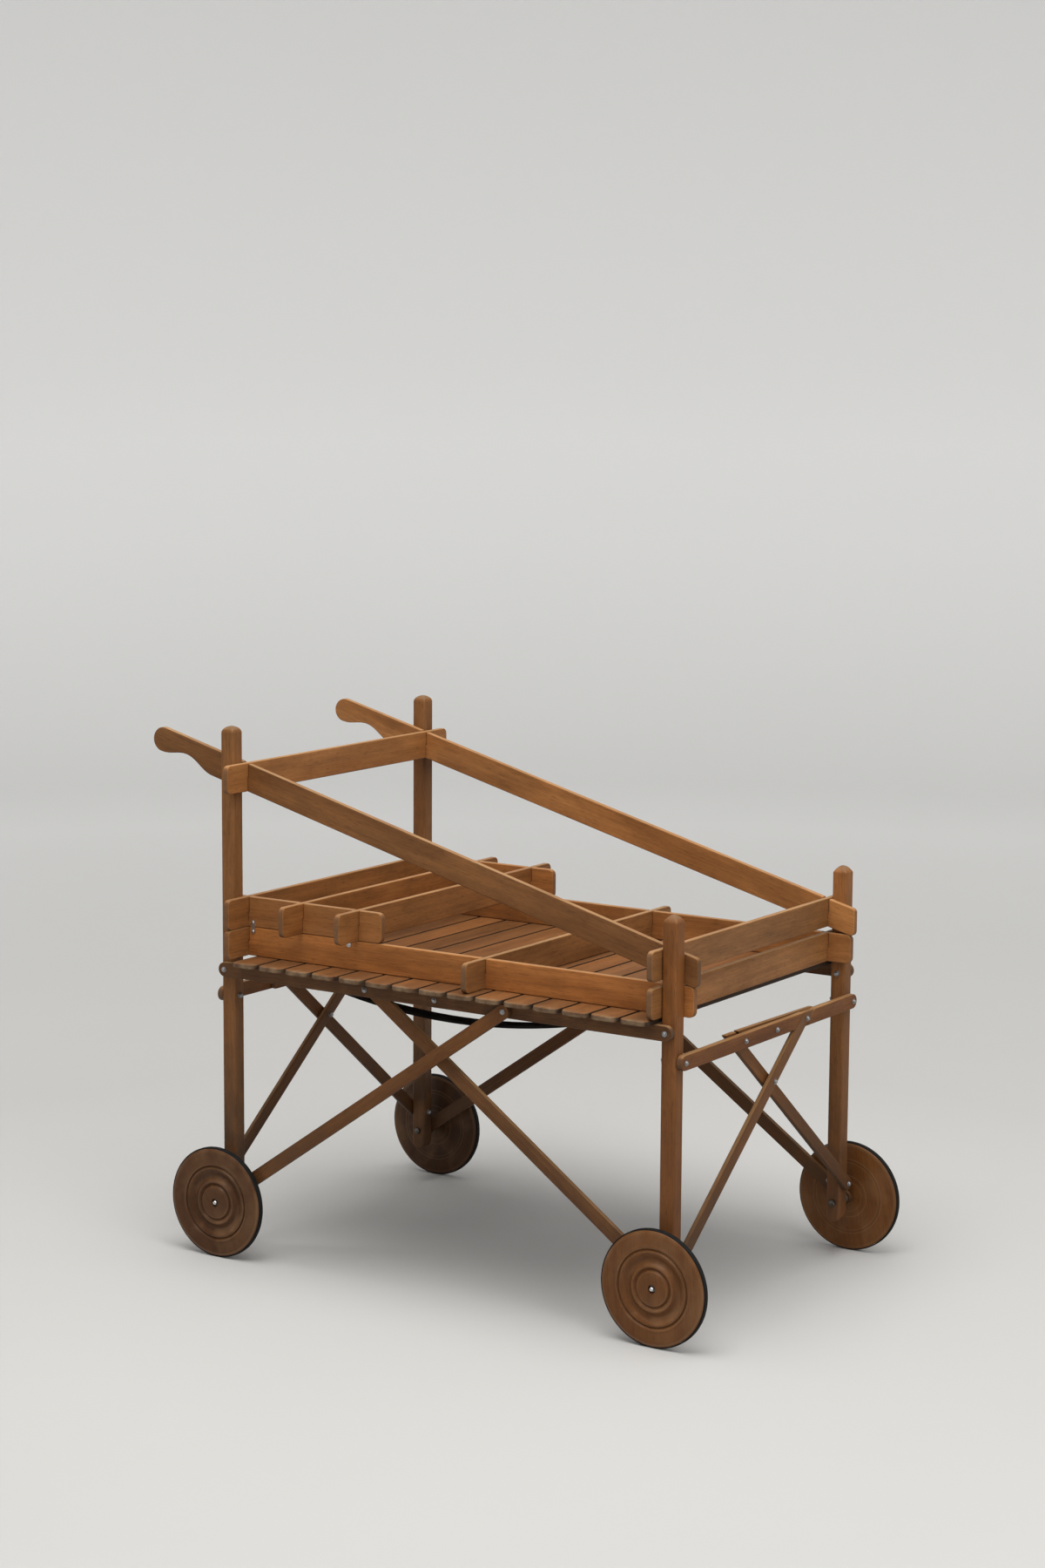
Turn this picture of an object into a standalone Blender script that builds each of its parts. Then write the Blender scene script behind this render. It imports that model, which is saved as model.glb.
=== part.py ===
"""Folding wagon: a slatted wooden deck on two braced leg frames with four turned wooden wheels.

Run with blender --background --python part.py. Metres, +Z up, +X towards the low front end,
-Y is the near side. The legs fold inwards under the deck once the side braces are unbolted.
"""

import math

import bpy
from mathutils import Matrix, Vector

# Driving sizes of the chassis
WHEEL_DIAMETER = 0.200
AXLE_SPACING = 0.912
POST_SPACING = 0.586
POST_WIDTH = 0.028
PIVOT_HEIGHT = 0.520
REAR_POST_TOP = 0.954
FRONT_POST_TOP = 0.713
POST_BELOW_AXLE = 0.035
POST_EDGE_RADIUS = 0.004
POST_FOOT_RADIUS = 0.013
REAR_DOME_RISE = 0.0125
FRONT_POINT_RISE = 0.0120

# Shape of the pointed front post tops, as shares of half the width and of the rise
POINT_SHARES = ((1.0, 0.0), (0.78, 0.42), (0.42, 0.86), (0.14, 1.0))

# Clearances
FIT_GAP = 0.0003
SEAT_GAP = 0.0012
RUNNING_GAP = 0.0003

# Deck
DECK_OVERHANG = 0.0405
BEARER_DEPTH = 0.026
BEARER_THICKNESS = 0.012
SLAT_COUNT = 15
SLAT_WIDTH = 0.0523
SLAT_SPACING_GAP = 0.0050
SLAT_THICKNESS = 0.0085
SLAT_CORNER_RADIUS = 0.009
SLATS_FRONT_CLEARANCE = 0.0054

# Hanging strap
STRAP_WIDTH = 0.030
STRAP_THICKNESS = 0.007
STRAP_SAG = 0.056
STRAP_HALF_SPAN = 0.400
STRAP_END_TAB = 0.030
STRAP_INSET = 0.029
STRAP_STEPS = 28

# Crate and tray boards
BOARD_THICKNESS = 0.011
BOARD_CORNER_RADIUS = 0.010
CROSS_BOARD_OVERHANG = 0.030
CRATE_BOARD_DEPTH = 0.052
TRAY_BOARD_DEPTH = 0.054
CRATE_FRONT_TAB = 0.0453
CRATE_REAR_TAB = 0.034
CRATE_DIVIDER_X = 0.072
TRAY_BAY = 0.121
TRAY_BAYS = 2
TRAY_FRONT_TAB = 0.049

# Handle frame
RAIL_ANGLE = math.radians(14.9)
RAIL_DEPTH = 0.0485
RAIL_FRONT_OVERHANG = 0.0064
RAIL_CORNER_RADIUS = 0.008
HANDLE_BOARD_DEPTH = 0.051
HANDLE_OVERHANG = 0.1895
GRIP_LENGTH = 0.1204
KNOB_RADIUS = 0.022
GRIP_DIP = 0.0157
GRIP_STEPS = 14

# End frames
END_RAIL_DROP = 0.050
END_RAIL_DEPTH = 0.026
END_RAIL_THICKNESS = 0.012
LATH_WIDTH = 0.024
LATH_THICKNESS = 0.009
END_LATH_FOOT_RISE = 0.036
OUTER_END_LATH_OFFSET = 0.113
INNER_END_LATH_OFFSET = 0.103
INNER_END_LATH_SETBACK = 0.0024
INNER_END_LATH_RISE = 0.003
PACKER_RISE = 0.0045
PACKER_END_OFFSET = 0.165
PACKER_CORNER_RADIUS = 0.004

# Side braces
SIDE_LATH_HEAD_X = 0.147
INNER_LATH_BASE = 0.0015
INNER_LATH_BACKSET = 0.0015
OUTER_LATH_WASHER = 0.0022
INNER_SWING_TILT = 0.0162

# Wheels and axles
TYRE_THICKNESS = 0.0020
TYRE_WIDTH = 0.0125
TYRE_EDGE = 0.0010
WHEEL_THICKNESS = 0.015
WHEEL_STANDOFF = 0.0280
WHEEL_STEPS = 48
GROOVE_DEPTH = 0.0032
HUB_RECESS_RADIUS = 0.0110
HUB_RECESS_DEPTH = 0.0035
AXLE_RADIUS = 0.0050
AXLE_STEPS = 16
COLLAR_RADIUS = 0.0095
AXLE_HEAD_RADIUS = 0.0085
AXLE_HEAD_HEIGHT = 0.0050
CAP_RADIUS = 0.0078
CAP_RISE = 0.0082
EYE_CLEARANCE = 0.0006

# Turned face of a wheel: shares of the wood radius and of the groove depth, from hub to rim
WHEEL_FACE_SHARES = (
    (0.310, 0.00), (0.340, 0.85), (0.365, 0.85), (0.395, 0.10), (0.465, 0.85),
    (0.620, 0.20), (0.665, 1.00), (0.710, 0.15), (0.900, 0.00), (1.000, 0.80),
)

# Smoothness
CORNER_STEPS = 4
ROUND_STEPS = 10
HOLE_STEPS = 16
CUTTER_OVERRUN = 0.010

# Worked-out places on the chassis
WHEEL_RADIUS = WHEEL_DIAMETER / 2
HALF_SPAN = AXLE_SPACING / 2
HALF_TRACK = POST_SPACING / 2
HALF_POST = POST_WIDTH / 2
POST_OUTER_Y = HALF_TRACK + HALF_POST
POST_INNER_Y = HALF_TRACK - HALF_POST
POST_OUTER_X = HALF_SPAN + HALF_POST
POST_INNER_X = HALF_SPAN - HALF_POST
HALF_DECK_WIDTH = POST_OUTER_Y + DECK_OVERHANG
HALF_BOARD_LENGTH = POST_OUTER_Y + CROSS_BOARD_OVERHANG
BEARER_INNER_Y = POST_OUTER_Y + FIT_GAP
BEARER_OUTER_Y = BEARER_INNER_Y + BEARER_THICKNESS
SLAT_BOTTOM = PIVOT_HEIGHT + BEARER_DEPTH / 2 + FIT_GAP
SLAT_TOP = SLAT_BOTTOM + SLAT_THICKNESS
SLAT_PITCH = SLAT_WIDTH + SLAT_SPACING_GAP
SLATS_FRONT_X = POST_INNER_X - SLATS_FRONT_CLEARANCE
END_RAIL_HEIGHT = PIVOT_HEIGHT - END_RAIL_DROP
END_LATH_FOOT_HEIGHT = WHEEL_RADIUS + END_LATH_FOOT_RISE
RAIL_BACK_X = POST_OUTER_X + FIT_GAP
RAIL_FACE_X = RAIL_BACK_X + END_RAIL_THICKNESS

# Worked-out places of the boards
HALF_BOARD = BOARD_THICKNESS / 2
BOARD_Y = POST_INNER_Y - FIT_GAP - HALF_BOARD
CROSS_BOARD_X = POST_INNER_X - FIT_GAP - HALF_BOARD
CRATE_BOTTOM = SLAT_TOP + FIT_GAP
CRATE_TOP = CRATE_BOTTOM + CRATE_BOARD_DEPTH
CRATE_FRONT_END = POST_INNER_X + CRATE_FRONT_TAB
CRATE_REAR_END = -POST_INNER_X - CRATE_REAR_TAB
TRAY_BOTTOM = CRATE_TOP + FIT_GAP
TRAY_TOP = TRAY_BOTTOM + TRAY_BOARD_DEPTH
TRAY_FRONT_END = -CROSS_BOARD_X + TRAY_BAYS * TRAY_BAY + HALF_BOARD + TRAY_FRONT_TAB

# Worked-out places of the wheels
WHEEL_INNER_Y = POST_OUTER_Y + WHEEL_STANDOFF
WHEEL_OUTER_Y = WHEEL_INNER_Y + WHEEL_THICKNESS
WOOD_RADIUS = WHEEL_RADIUS - TYRE_THICKNESS - FIT_GAP
BORE_RADIUS = AXLE_RADIUS + RUNNING_GAP
EYE_RADIUS = AXLE_RADIUS + EYE_CLEARANCE

# The inclined rails rest on the rounded front corners of the crate's long boards
RAIL_ALONG = Vector((-math.cos(RAIL_ANGLE), 0, math.sin(RAIL_ANGLE)))
RAIL_UP = Vector((math.sin(RAIL_ANGLE), 0, math.cos(RAIL_ANGLE)))
SEAT_CENTRE = Vector((CRATE_FRONT_END - BOARD_CORNER_RADIUS, 0, CRATE_TOP - BOARD_CORNER_RADIUS))
RAIL_ORIGIN = SEAT_CENTRE + RAIL_UP * (BOARD_CORNER_RADIUS + FIT_GAP)
RAIL_END_X = CRATE_FRONT_END + RAIL_FRONT_OVERHANG
REAR_BOARD_ALONG = (RAIL_ORIGIN.x + RAIL_UP.x * RAIL_DEPTH + CROSS_BOARD_X) / math.cos(RAIL_ANGLE)
KNOB_REACH = REAR_BOARD_ALONG + HANDLE_OVERHANG

# The object's origin is under the middle of its outer box, so all of it moves forward by this
KNOB_CENTRE = RAIL_ORIGIN + RAIL_ALONG * KNOB_REACH + RAIL_UP * (RAIL_DEPTH - KNOB_RADIUS)
REAR_REACH = KNOB_RADIUS - KNOB_CENTRE.x
FRONT_REACH = HALF_SPAN + WHEEL_RADIUS
CHASSIS_SHIFT = (REAR_REACH - FRONT_REACH) / 2

COLLECTION_NAME = "folding_wagon"
CUTTER_COLLECTION_NAME = "folding_wagon_cutters"

# Colour, roughness and metallic value of each material
FINISHES = {
    "post_wood": ((0.400, 0.195, 0.080), 0.52, 0.0),
    "board_wood": ((0.420, 0.190, 0.070), 0.50, 0.0),
    "slat_wood": ((0.450, 0.235, 0.105), 0.55, 0.0),
    "lath_wood": ((0.370, 0.185, 0.080), 0.55, 0.0),
    "wheel_wood": ((0.330, 0.150, 0.065), 0.48, 0.0),
    "tyre_rubber": ((0.018, 0.018, 0.018), 0.75, 0.0),
    "axle_steel": ((0.620, 0.620, 0.640), 0.22, 1.0),
    "strap_webbing": ((0.016, 0.016, 0.018), 0.88, 0.0),
}


def clear_scene():
    for item in list(bpy.data.objects):
        bpy.data.objects.remove(item, do_unlink=True)


def make_collection(name):
    collection = bpy.data.collections.new(name)
    bpy.context.scene.collection.children.link(collection)
    return collection


def make_material(name, colour, roughness, metallic):
    material = bpy.data.materials.new(name)
    material.use_nodes = True
    shader = material.node_tree.nodes["Principled BSDF"]
    shader.inputs["Base Color"].default_value = (*colour, 1.0)
    shader.inputs["Roughness"].default_value = roughness
    shader.inputs["Metallic"].default_value = metallic
    material.diffuse_color = (*colour, 1.0)
    return material


def make_materials():
    return {name: make_material(name, *finish) for name, finish in FINISHES.items()}


class Wagon:
    """Holds the collections, the materials and the empties that the pieces hang on."""

    def __init__(self):
        self.parts = make_collection(COLLECTION_NAME)
        self.cutters = make_collection(CUTTER_COLLECTION_NAME)
        self.materials = make_materials()
        self.origins = {}
        self.add_empty("wagon_origin", Vector((CHASSIS_SHIFT, 0, 0)), None)

    def add_empty(self, name, place, parent):
        empty = bpy.data.objects.new(name, None)
        self.parts.objects.link(empty)
        self.origins[name] = place.copy()
        if parent is None:
            empty.location = place
        else:
            empty.parent = bpy.data.objects[parent]
            empty.location = place - self.origins[parent]
        return empty

    def add_frame_empty(self, name, place, parent="wagon_origin"):
        """An empty at a place given in the chassis' own middle coordinates."""
        return self.add_empty(name, place + Vector((CHASSIS_SHIFT, 0, 0)), parent)

    def hang(self, item, parent, place, turn=None):
        """Parents a piece and sets it at a place given in the chassis' middle coordinates."""
        item.parent = bpy.data.objects[parent]
        item.location = place + Vector((CHASSIS_SHIFT, 0, 0)) - self.origins[parent]
        if turn is not None:
            item.rotation_euler = turn.to_euler()
        return item


def arc_points(centre, radius, start, end, steps):
    points = []
    for step in range(steps + 1):
        angle = start + (end - start) * step / steps
        points.append((centre[0] + radius * math.cos(angle), centre[1] + radius * math.sin(angle)))
    return points


def corner_points(before, corner, after, radius):
    """The arc that rounds the corner between two straight edges, in walking order."""
    before, corner, after = Vector(before), Vector(corner), Vector(after)
    arriving = (before - corner).normalized()
    leaving = (after - corner).normalized()
    half_angle = arriving.angle(leaving) / 2
    centre = corner + (arriving + leaving).normalized() * radius / math.sin(half_angle)
    start = corner + arriving * radius / math.tan(half_angle) - centre
    finish = corner + leaving * radius / math.tan(half_angle) - centre
    first = math.atan2(start.y, start.x)
    turn = (math.atan2(finish.y, finish.x) - first + math.pi) % math.tau - math.pi
    return arc_points(centre, radius, first, first + turn, CORNER_STEPS)


def circle_points(centre, radius, steps):
    return arc_points(centre, radius, 0, math.tau * (steps - 1) / steps, steps - 1)


def notched_board(start, end, low, high, corner, notches=(), notch_width=0.0):
    """A rounded rectangle; each notch is (centre, floor) and opens at the top or the bottom."""
    half = notch_width / 2
    points = arc_points((start + corner, low + corner), corner, math.pi, 1.5 * math.pi, CORNER_STEPS)
    middle = (low + high) / 2
    for centre, floor in sorted(n for n in notches if n[1] > middle):
        points += [(centre - half, low), (centre - half, floor), (centre + half, floor), (centre + half, low)]
    points += arc_points((end - corner, low + corner), corner, -0.5 * math.pi, 0, CORNER_STEPS)
    points += arc_points((end - corner, high - corner), corner, 0, 0.5 * math.pi, CORNER_STEPS)
    for centre, floor in sorted((n for n in notches if n[1] < middle), reverse=True):
        points += [(centre + half, high), (centre + half, floor), (centre - half, floor), (centre - half, high)]
    points += arc_points((start + corner, high - corner), corner, 0.5 * math.pi, math.pi, CORNER_STEPS)
    return points


def outline_curve(name, loops, thickness):
    """A flat piece: closed outlines in its local XY plane, filled and extruded both ways."""
    curve = bpy.data.curves.new(name, "CURVE")
    curve.dimensions = "2D"
    curve.fill_mode = "BOTH"
    curve.extrude = thickness / 2
    for loop in loops:
        spline = curve.splines.new("POLY")
        spline.points.add(len(loop) - 1)
        for point, (across, up) in zip(spline.points, loop):
            point.co = (across, up, 0, 1)
        spline.use_cyclic_u = True
    return bpy.data.objects.new(name, curve)


SIDE_TURN = Matrix.Rotation(math.pi / 2, 3, "X")
END_TURN = Matrix.Rotation(math.pi / 2, 3, "Z") @ Matrix.Rotation(math.pi / 2, 3, "X")


def flat_piece(wagon, name, loops, thickness, parent, place, turn, material):
    piece = outline_curve(name, loops, thickness)
    piece.data.materials.append(wagon.materials[material])
    wagon.parts.objects.link(piece)
    return wagon.hang(piece, parent, place, turn)


def mesh_from_outline(name, loops, thickness, turn):
    """The same flat piece as a mesh, for a Boolean."""
    source = outline_curve(name, loops, thickness)
    bpy.context.scene.collection.objects.link(source)
    bpy.context.view_layer.update()
    evaluated = source.evaluated_get(bpy.context.evaluated_depsgraph_get())
    mesh = bpy.data.meshes.new_from_object(evaluated)
    mesh.name = name
    mesh.transform(turn.to_4x4())
    bpy.data.objects.remove(source, do_unlink=True)
    return mesh


def add_cutter(wagon, name, mesh, parent, place):
    cutter = bpy.data.objects.new(name, mesh)
    wagon.cutters.objects.link(cutter)
    cutter.hide_render = True
    cutter.display_type = "WIRE"
    return wagon.hang(cutter, parent, place)


def shape_with(piece, cutter, operation):
    modifier = piece.modifiers.new("shape", "BOOLEAN")
    modifier.operation = operation
    modifier.solver = "EXACT"
    modifier.object = cutter


def top_points(top, rise, pointed):
    """The outline of a post's top from its right shoulder over to its left one."""
    shoulder = top - rise
    if pointed:
        right = [(HALF_POST * across, shoulder + rise * up) for across, up in POINT_SHARES]
        return right + [(-across, up) for across, up in reversed(right)]
    points = []
    for step in range(ROUND_STEPS + 1):
        angle = math.pi * step / ROUND_STEPS
        points.append((HALF_POST * math.cos(angle), shoulder + rise * math.sin(angle)))
    return points


def add_post(wagon, name, parent, x, y, top, rise, pointed):
    """A square post, rounded over at the top both ways, round-footed, bored for its axle."""
    foot = WHEEL_RADIUS - POST_BELOW_AXLE
    bottom = arc_points((-HALF_POST + POST_FOOT_RADIUS, foot + POST_FOOT_RADIUS), POST_FOOT_RADIUS,
                        math.pi, 1.5 * math.pi, CORNER_STEPS)
    bottom += arc_points((HALF_POST - POST_FOOT_RADIUS, foot + POST_FOOT_RADIUS), POST_FOOT_RADIUS,
                         1.5 * math.pi, math.tau, CORNER_STEPS)
    outline = bottom + top_points(top, rise, pointed)
    bore = circle_points((0, WHEEL_RADIUS), BORE_RADIUS, HOLE_STEPS)
    mesh = mesh_from_outline(name, [outline, bore], POST_WIDTH, SIDE_TURN)
    post = bpy.data.objects.new(name, mesh)
    mesh.materials.append(wagon.materials["post_wood"])
    wagon.parts.objects.link(post)
    wagon.hang(post, parent, Vector((x, y, 0)))

    low = foot - CUTTER_OVERRUN
    cross = [(-HALF_POST, low), (HALF_POST, low)] + top_points(top, rise, pointed)
    wide = POST_WIDTH + 2 * CUTTER_OVERRUN
    top_mesh = mesh_from_outline(name + "_top_cutter", [cross], wide, END_TURN)
    top_cutter = add_cutter(wagon, name + "_top_cutter", top_mesh, parent, Vector((x, y, 0)))
    shape_with(post, top_cutter, "INTERSECT")

    half = HALF_POST
    section = notched_board(-half, half, -half, half, POST_EDGE_RADIUS)
    tall = top + CUTTER_OVERRUN - low
    edge_mesh = mesh_from_outline(name + "_edge_cutter", [section], tall, Matrix.Identity(3))
    middle = Vector((x, y, low + tall / 2))
    edge_cutter = add_cutter(wagon, name + "_edge_cutter", edge_mesh, parent, middle)
    shape_with(post, edge_cutter, "INTERSECT")


def lath_turn(foot, head, normal):
    """A lath's own axes: along it, across its broad face, and square to that face."""
    along = (head - foot).normalized()
    across = normal.cross(along).normalized()
    return Matrix((along, across, along.cross(across))).transposed()


def add_side_lath(wagon, name, parent, foot, head, normal):
    """A lath with two round ends and an eye about the axle at its foot."""
    half = LATH_WIDTH / 2
    outline = arc_points(((head - foot).length, 0), half, -0.5 * math.pi, 0.5 * math.pi, ROUND_STEPS)
    outline += arc_points((0, 0), half, 0.5 * math.pi, 1.5 * math.pi, ROUND_STEPS)
    loops = [outline, circle_points((0, 0), EYE_RADIUS, HOLE_STEPS)]
    flat_piece(wagon, name, loops, LATH_THICKNESS, parent, foot, lath_turn(foot, head, normal),
               "lath_wood")


def add_end_lath(wagon, name, parent, foot, head, rise):
    """A lath with a round foot, cut off level at a height above the bolt at its head."""
    turn = lath_turn(foot, head, Vector((1, 0, 0)))
    half = LATH_WIDTH / 2
    length = (head - foot).length
    outline = [(length + (rise - side * turn[2][1]) / turn[2][0], side) for side in (-half, half)]
    outline += arc_points((0, 0), half, 0.5 * math.pi, 1.5 * math.pi, ROUND_STEPS)
    flat_piece(wagon, name, [outline], LATH_THICKNESS, parent, foot, turn, "lath_wood")


def turned_piece(wagon, name, profile, closed, steps, parent, place, outward, material):
    """A profile of (radius, distance outwards) turned about the wheel's axis."""
    mesh = bpy.data.meshes.new(name)
    points = [(radius, 0, out) for radius, out in profile]
    edges = [(i, i + 1) for i in range(len(points) - 1)]
    if closed:
        edges.append((len(points) - 1, 0))
    mesh.from_pydata(points, edges, [])
    mesh.materials.append(wagon.materials[material])
    piece = bpy.data.objects.new(name, mesh)
    wagon.parts.objects.link(piece)
    screw = piece.modifiers.new("turn", "SCREW")
    screw.axis = "Z"
    screw.steps = steps
    screw.render_steps = steps
    screw.use_merge_vertices = True
    screw.merge_threshold = 0.00001
    screw.use_normal_flip = True
    turn = Matrix.Rotation(-outward * math.pi / 2, 3, "X")
    return wagon.hang(piece, parent, place, turn)


def add_bearers(wagon):
    """Two rails along the outer faces of the posts, with round ends about the leg pivots."""
    half = BEARER_DEPTH / 2
    outline = arc_points((HALF_SPAN, 0), half, -0.5 * math.pi, 0.5 * math.pi, ROUND_STEPS)
    outline += arc_points((-HALF_SPAN, 0), half, 0.5 * math.pi, 1.5 * math.pi, ROUND_STEPS)
    for side, side_name in ((-1, "near"), (1, "far")):
        place = Vector((0, side * (BEARER_INNER_Y + BEARER_THICKNESS / 2), PIVOT_HEIGHT))
        flat_piece(wagon, "bearer_" + side_name, [outline], BEARER_THICKNESS, "wagon_origin",
                   place, SIDE_TURN, "lath_wood")


def add_slats(wagon):
    """The crosswise slats on the bearers, counted from the rear."""
    outline = notched_board(-SLAT_WIDTH / 2, SLAT_WIDTH / 2, -HALF_DECK_WIDTH, HALF_DECK_WIDTH,
                            SLAT_CORNER_RADIUS)
    height = SLAT_BOTTOM + SLAT_THICKNESS / 2
    for index in range(SLAT_COUNT):
        from_front = SLAT_COUNT - 1 - index
        x = SLATS_FRONT_X - SLAT_WIDTH / 2 - from_front * SLAT_PITCH
        flat_piece(wagon, f"slat_{index + 1:02d}", [outline], SLAT_THICKNESS, "wagon_origin",
                   Vector((x, 0, height)), Matrix.Identity(3), "slat_wood")


def add_strap(wagon):
    """A webbing band that hangs in an arc beside the near bearer, held under the slats."""
    hung = STRAP_HALF_SPAN - STRAP_END_TAB
    upper = [(-STRAP_HALF_SPAN, 0)]
    for step in range(STRAP_STEPS + 1):
        x = hung * (2 * step / STRAP_STEPS - 1)
        upper.append((x, -STRAP_SAG * (1 - (x / hung) ** 2)))
    upper.append((STRAP_HALF_SPAN, 0))
    lower = [(x, z - STRAP_THICKNESS) for x, z in reversed(upper)]
    y = -(POST_INNER_Y - STRAP_INSET)
    place = Vector((0, y, SLAT_BOTTOM - FIT_GAP))
    flat_piece(wagon, "strap", [upper + lower], STRAP_WIDTH, "wagon_origin", place, SIDE_TURN,
               "strap_webbing")


def add_long_boards(wagon, stem, start, end, low, depth, cross_places):
    """The near and far boards of a crate, notched from the top for the cross boards."""
    high = low + depth
    floor = (low + high) / 2 - FIT_GAP / 2
    notches = [(x, floor) for x in cross_places]
    outline = notched_board(start, end, low, high, BOARD_CORNER_RADIUS, notches,
                            BOARD_THICKNESS + 2 * FIT_GAP)
    for side, side_name in ((-1, "near"), (1, "far")):
        flat_piece(wagon, f"{stem}_board_{side_name}", [outline], BOARD_THICKNESS, "wagon_origin",
                   Vector((0, side * BOARD_Y, 0)), SIDE_TURN, "board_wood")


def add_cross_board(wagon, name, parent, x, low, depth, seat):
    """A cross board, notched from below at seat height so that it drops over the long boards."""
    notches = [(-BOARD_Y, seat), (BOARD_Y, seat)]
    outline = notched_board(-HALF_BOARD_LENGTH, HALF_BOARD_LENGTH, low, low + depth,
                            BOARD_CORNER_RADIUS, notches, BOARD_THICKNESS + 2 * FIT_GAP)
    flat_piece(wagon, name, [outline], BOARD_THICKNESS, parent, Vector((x, 0, 0)), END_TURN,
               "board_wood")


def add_crate(wagon):
    """The lower crate: two long boards and three cross boards, halved into each other."""
    places = (-CROSS_BOARD_X, CRATE_DIVIDER_X, CROSS_BOARD_X)
    add_long_boards(wagon, "crate", CRATE_REAR_END, CRATE_FRONT_END, CRATE_BOTTOM,
                    CRATE_BOARD_DEPTH, places)
    seat = CRATE_BOTTOM + CRATE_BOARD_DEPTH / 2 + FIT_GAP / 2
    for x, name in zip(places, ("rear", "middle", "front")):
        add_cross_board(wagon, "crate_cross_" + name, "wagon_origin", x, CRATE_BOTTOM,
                        CRATE_BOARD_DEPTH, seat)


def add_tray(wagon):
    """The short upper tray over the rear of the crate."""
    places = [-CROSS_BOARD_X + bay * TRAY_BAY for bay in range(TRAY_BAYS + 1)]
    add_long_boards(wagon, "tray", CRATE_REAR_END, TRAY_FRONT_END, TRAY_BOTTOM,
                    TRAY_BOARD_DEPTH, places)
    seat = TRAY_BOTTOM + TRAY_BOARD_DEPTH / 2 + FIT_GAP / 2
    for index, x in enumerate(places):
        add_cross_board(wagon, f"tray_cross_{index + 1}", "wagon_origin", x, TRAY_BOTTOM,
                        TRAY_BOARD_DEPTH, seat)


def rail_point(along, up):
    """A place on the inclined rail, from its seat on the crate, as (x, z)."""
    point = RAIL_ORIGIN + RAIL_ALONG * along + RAIL_UP * up
    return (point.x, point.z)


def rail_edge_height(x, up):
    """How high the rail's edge at distance up from its underside is at x."""
    along = (RAIL_ORIGIN.x + RAIL_UP.x * up - x) / math.cos(RAIL_ANGLE)
    return rail_point(along, up)[1]


def handle_outline():
    """The rail with its plumb front end, the shaped grip and the notches for the cross boards."""
    top = (RAIL_END_X, rail_edge_height(RAIL_END_X, RAIL_DEPTH))
    bottom = (RAIL_END_X, rail_edge_height(RAIL_END_X, 0))
    points = corner_points(rail_point(KNOB_REACH, RAIL_DEPTH), top, bottom, RAIL_CORNER_RADIUS)
    points += corner_points(top, bottom, rail_point(KNOB_REACH, 0), RAIL_CORNER_RADIUS)
    knob_bottom = RAIL_DEPTH - 2 * KNOB_RADIUS
    for step in range(GRIP_STEPS):
        share = step / GRIP_STEPS
        rise = GRIP_DIP * (1 - math.cos(math.tau * share)) / 2 + knob_bottom * share
        points.append(rail_point(KNOB_REACH - GRIP_LENGTH * (1 - share), rise))
    knob = arc_points((KNOB_REACH, RAIL_DEPTH - KNOB_RADIUS), KNOB_RADIUS, -0.5 * math.pi,
                      0.5 * math.pi, 2 * ROUND_STEPS)
    points += [rail_point(along, up) for along, up in knob]
    half = HALF_BOARD + FIT_GAP
    for x in (-CROSS_BOARD_X, CROSS_BOARD_X):
        floor = rail_edge_height(x, RAIL_DEPTH) - HANDLE_BOARD_DEPTH / 2 - FIT_GAP / 2
        points += [(x - half, rail_edge_height(x - half, RAIL_DEPTH)), (x - half, floor),
                   (x + half, floor), (x + half, rail_edge_height(x + half, RAIL_DEPTH))]
    return points


def add_handle_frame(wagon):
    """The lift-off frame: two inclined rails with grips and two upright cross boards."""
    wagon.add_frame_empty("handle_frame", Vector((0, 0, CRATE_TOP)))
    outline = handle_outline()
    for side, side_name in ((-1, "near"), (1, "far")):
        flat_piece(wagon, "handle_rail_" + side_name, [outline], BOARD_THICKNESS, "handle_frame",
                   Vector((0, side * BOARD_Y, 0)), SIDE_TURN, "board_wood")
    for x, name in ((-CROSS_BOARD_X, "rear"), (CROSS_BOARD_X, "front")):
        top = rail_edge_height(x, RAIL_DEPTH)
        seat = top - HANDLE_BOARD_DEPTH / 2 + FIT_GAP / 2
        add_cross_board(wagon, "handle_cross_" + name, "handle_frame", x,
                        top - HANDLE_BOARD_DEPTH, HANDLE_BOARD_DEPTH, seat)


def turned_about(end, x, y, z):
    """A place on the front end, or for end -1 the same place turned half round to the rear."""
    return Vector((end * x, end * y, z))


def outer_end_lath_line(end):
    """Foot and head of the lath whose head is let in flush with the end rail's face."""
    half = LATH_THICKNESS / 2
    foot = turned_about(end, POST_OUTER_X + SEAT_GAP + half, -HALF_TRACK, END_LATH_FOOT_HEIGHT)
    head = turned_about(end, RAIL_FACE_X - half, OUTER_END_LATH_OFFSET, END_RAIL_HEIGHT)
    return foot, head


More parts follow.
